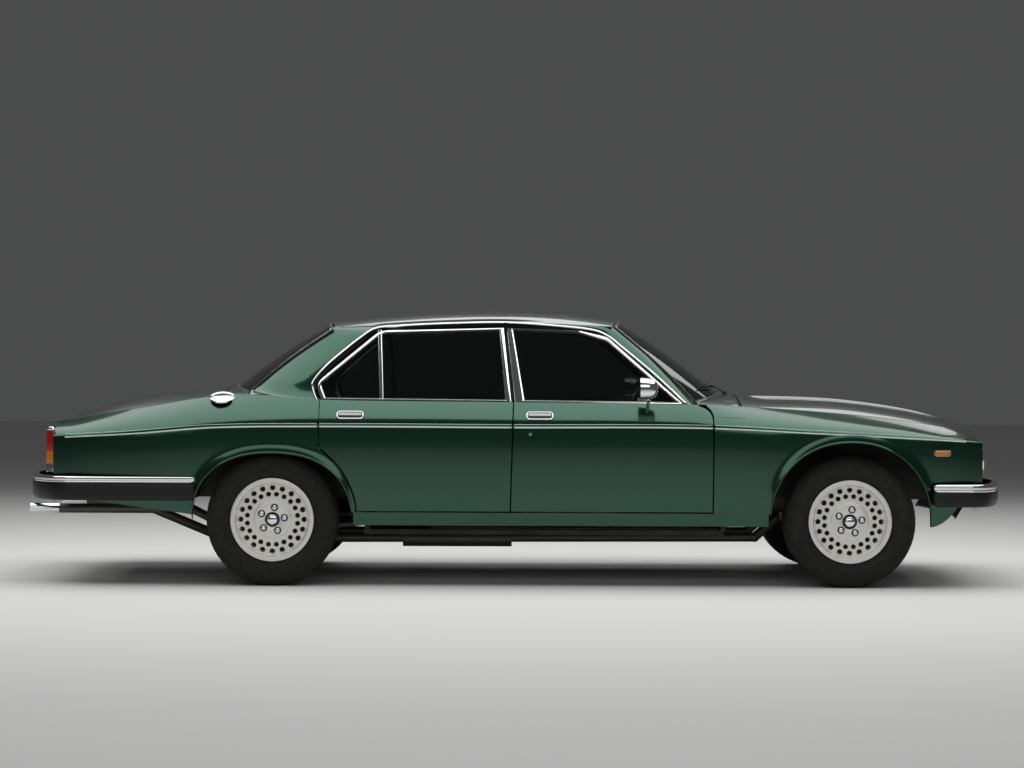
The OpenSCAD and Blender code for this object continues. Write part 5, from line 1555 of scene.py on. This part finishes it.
# Door linings with walnut cappings, armrests and pulls
ARMREST_Z, PULL_Z, WINDER_Z = 640, 735, 560
for end, side in CORNERS:
    def lining(u, v, lift):
        z = mix(door_foot + 26, belt_h - 34, v)
        rear, fore = door_edges(end == "front", z)
        x = mix(rear + 40, fore - door_lip - 34, u)
        puff = 5 * sin(pi * u) ** 0.4 * abs(sin(pi * 3 * v)) ** 0.35
        return Vector((x, -door_in(z) + 0.6 + lift * (3 + puff), z))

    door = f"door_{end}_{side}"
    pad, cap, bright = bmesh.new(), bmesh.new(), bmesh.new()
    slab(pad, 30, 42, lambda u, v: lining(u, v, 1), lambda u, v: lining(u, v, 0))
    rear, fore = door_edges(end == "front", ARMREST_Z)
    mid = (rear + fore - door_lip) / 2
    block(pad, (330, 42, 62), shift((mid - 20, -door_in(ARMREST_Z) + 24, ARMREST_Z)), 14, 3)
    x0, x1 = rear + (120 if end == "rear" else 46), fore - door_lip - (150 if end == "front" else 40)
    rail = [Vector((x, -door_in(belt_h - 22) + 4, belt_h - 24)) for x in spread(x0, x1, 12)]
    sweep(cap, rail, oval(32, 16, 14, 3), Vector((0, 1, 0.2)))
    y = -door_in(PULL_Z)
    pull = smooth_path([(mid + x, y + out, PULL_Z) for x, out in ((150, 4), (120, 26), (60, 26), (30, 4))], 5)
    sweep(bright, pull, oval(9, 14, 10), Vector((0, 1, 0)))
    winder = shift((mid - 60, -door_in(WINDER_Z) + 3, WINDER_Z)) @ spun(-90, "X")
    turned(bright, [(0, 14), (9, 13), (12, 8), (12, 0), (0, 0)], 20, winder)
    fit_side(side, door, [
        (f"{door}_lining", pad, hide, "hide"), (f"{door}_capping", cap, walnut, "walnut"),
        (f"{door}_pulls", bright, chrome, "bright_trim")])

# Under the bonnet
BANK_TILT = 24
bm = bmesh.new()
block(bm, (780, 300, 260), shift((x_fa - 40, 0, 470)), 24, 3)
for s in (-1, 1):
    block(bm, (700, 170, 170), shift((x_fa - 40, s * 150, 610)) @ spun(-BANK_TILT * s, "X"), 22, 3)
    for k in range(6):
        spot = shift((x_fa - 320 + 112 * k, s * 235, 560)) @ spun(90, "X")
        turned(bm, [(0, 24), (20, 24), (22, 18), (22, -24), (0, -24)], 16, spot)
turned(bm, [(0, 24), (70, 24), (74, 18), (60, 0), (74, -18), (70, -24), (0, -24)], 32,
       shift((x_fa + 345, 0, 520)) @ ahead)
piece("engine_castings", bm, iron, "body", "iron", ["engine"])
bm = bmesh.new()
for s in (-1, 1):
    bank = shift((x_fa - 40, s * 182, 686)) @ spun(-BANK_TILT * s, "X")
    block(bm, (660, 128, 40), bank, 16, 3)
    for k in range(-4, 5):
        sweep(bm, [bank @ Vector((x, k * 12, 21)) for x in (-290, 0, 290)], oval(6, 6, 8), UP)
piece("cam_covers", bm, alloy, "body", "alloy")
bm = bmesh.new()
for s in (-1, 1):
    block(bm, (420, 120, 90), shift((x_fa - 60, s * 345, 720)), 26, 4)
    hose = smooth_path([(x_fa + 120, s * 320, 730), (x_fa + 240, s * 300, 742), (x_fa + 330, s * 200, 700),
                        (x_fa + 420, s * 170, 640)], 6)
    sweep(bm, hose, oval(52, 52, 14), UP)
block(bm, (70, 640, 330), shift((x_fa + 560, 0, 575)), 12, 3)
block(bm, (180, 250, 170), shift((x_fa - 430, 290, 700)), 10, 3)
turned(bm, [(0, 60), (90, 56), (118, 30), (118, -30), (90, -56), (0, -56)], 32,
       shift((x_fa - 460, -310, 700)) @ ahead)
for y in (-60, 0, 60):
    hose = smooth_path([(x_fa - 380, y, 690), (x_fa - 100, y * 0.6, 715), (x_fa + 250, y * 1.4, 700),
                        (x_fa + 330, y * 2, 600)], 6)
    sweep(bm, hose, oval(18, 18, 10), UP)
piece("underbonnet_fittings", bm, black_plastic, "body", "black_trim")

# Camera, light and floor
def lamp(name, place, aim_at, size, power):
    light = bpy.data.lights.new(name, "AREA")
    light.shape, light.size, light.size_y, light.energy = "RECTANGLE", size[0], size[1], power
    obj = bpy.data.objects.new(name, light)
    obj.location = place
    obj.rotation_euler = (Vector(aim_at) - Vector(place)).to_track_quat("-Z", "Y").to_euler()
    bpy.context.scene.collection.objects.link(obj)


# The camera stands square to the side. SCALE is metres to a pixel on the plane of the near rims.
FRAME_W, SENSOR = 1024, 36
NEAR_PLANE, DISTANCE, SCALE = -0.83, 13.0, 0.004952
EYE_X, EYE_Z, EYE_DROP, EYE_ROLL = -0.02, 1.07, 13.15, -0.25
camera = bpy.data.cameras.new("side_view")
camera.sensor_width = SENSOR
camera.lens = SENSOR * DISTANCE / (FRAME_W * SCALE)
camera.shift_y = -EYE_DROP / FRAME_W
camera.clip_end = 200
view = bpy.data.objects.new("side_view", camera)
view.location = (EYE_X, NEAR_PLANE - DISTANCE, EYE_Z)
view.rotation_euler = (radians(90), radians(EYE_ROLL), 0)
bpy.context.scene.collection.objects.link(view)
bpy.context.scene.camera = view

lamp("top_softbox", (0, -0.2, 5.0), (0, -0.2, 0.0), (11.0, 6.0), 420)
lamp("near_softbox", (0.3, -9.0, 3.8), (0.3, -0.8, 0.6), (11.0, 3.0), 130)
lamp("far_softbox", (0, 6.5, 5.0), (0, 0.8, 0.6), (9.0, 2.4), 90)

world = bpy.data.worlds.new("studio")
world.use_nodes = True
sky = world.node_tree.nodes["Background"].inputs
sky["Color"].default_value = (0.86, 0.87, 0.88, 1)
sky["Strength"].default_value = 0.08
bpy.context.scene.world = world
bm = bmesh.new()
bmesh.ops.create_grid(bm, x_segments=8, y_segments=8, size=40)
mesh = bpy.data.meshes.new("studio_floor")
bm.to_mesh(mesh)
bm.free()
floor = bpy.data.objects.new("studio_floor", mesh)
bpy.context.scene.collection.objects.link(floor)
floor_finish = finish("studio_floor", (0.78, 0.78, 0.77), 0.0, 0.85)
rough_by(floor_finish, "Noise", 3.0, 0.8, 0.9)
mesh.materials.append(floor_finish)
bpy.context.scene.view_settings.view_transform = "Standard"
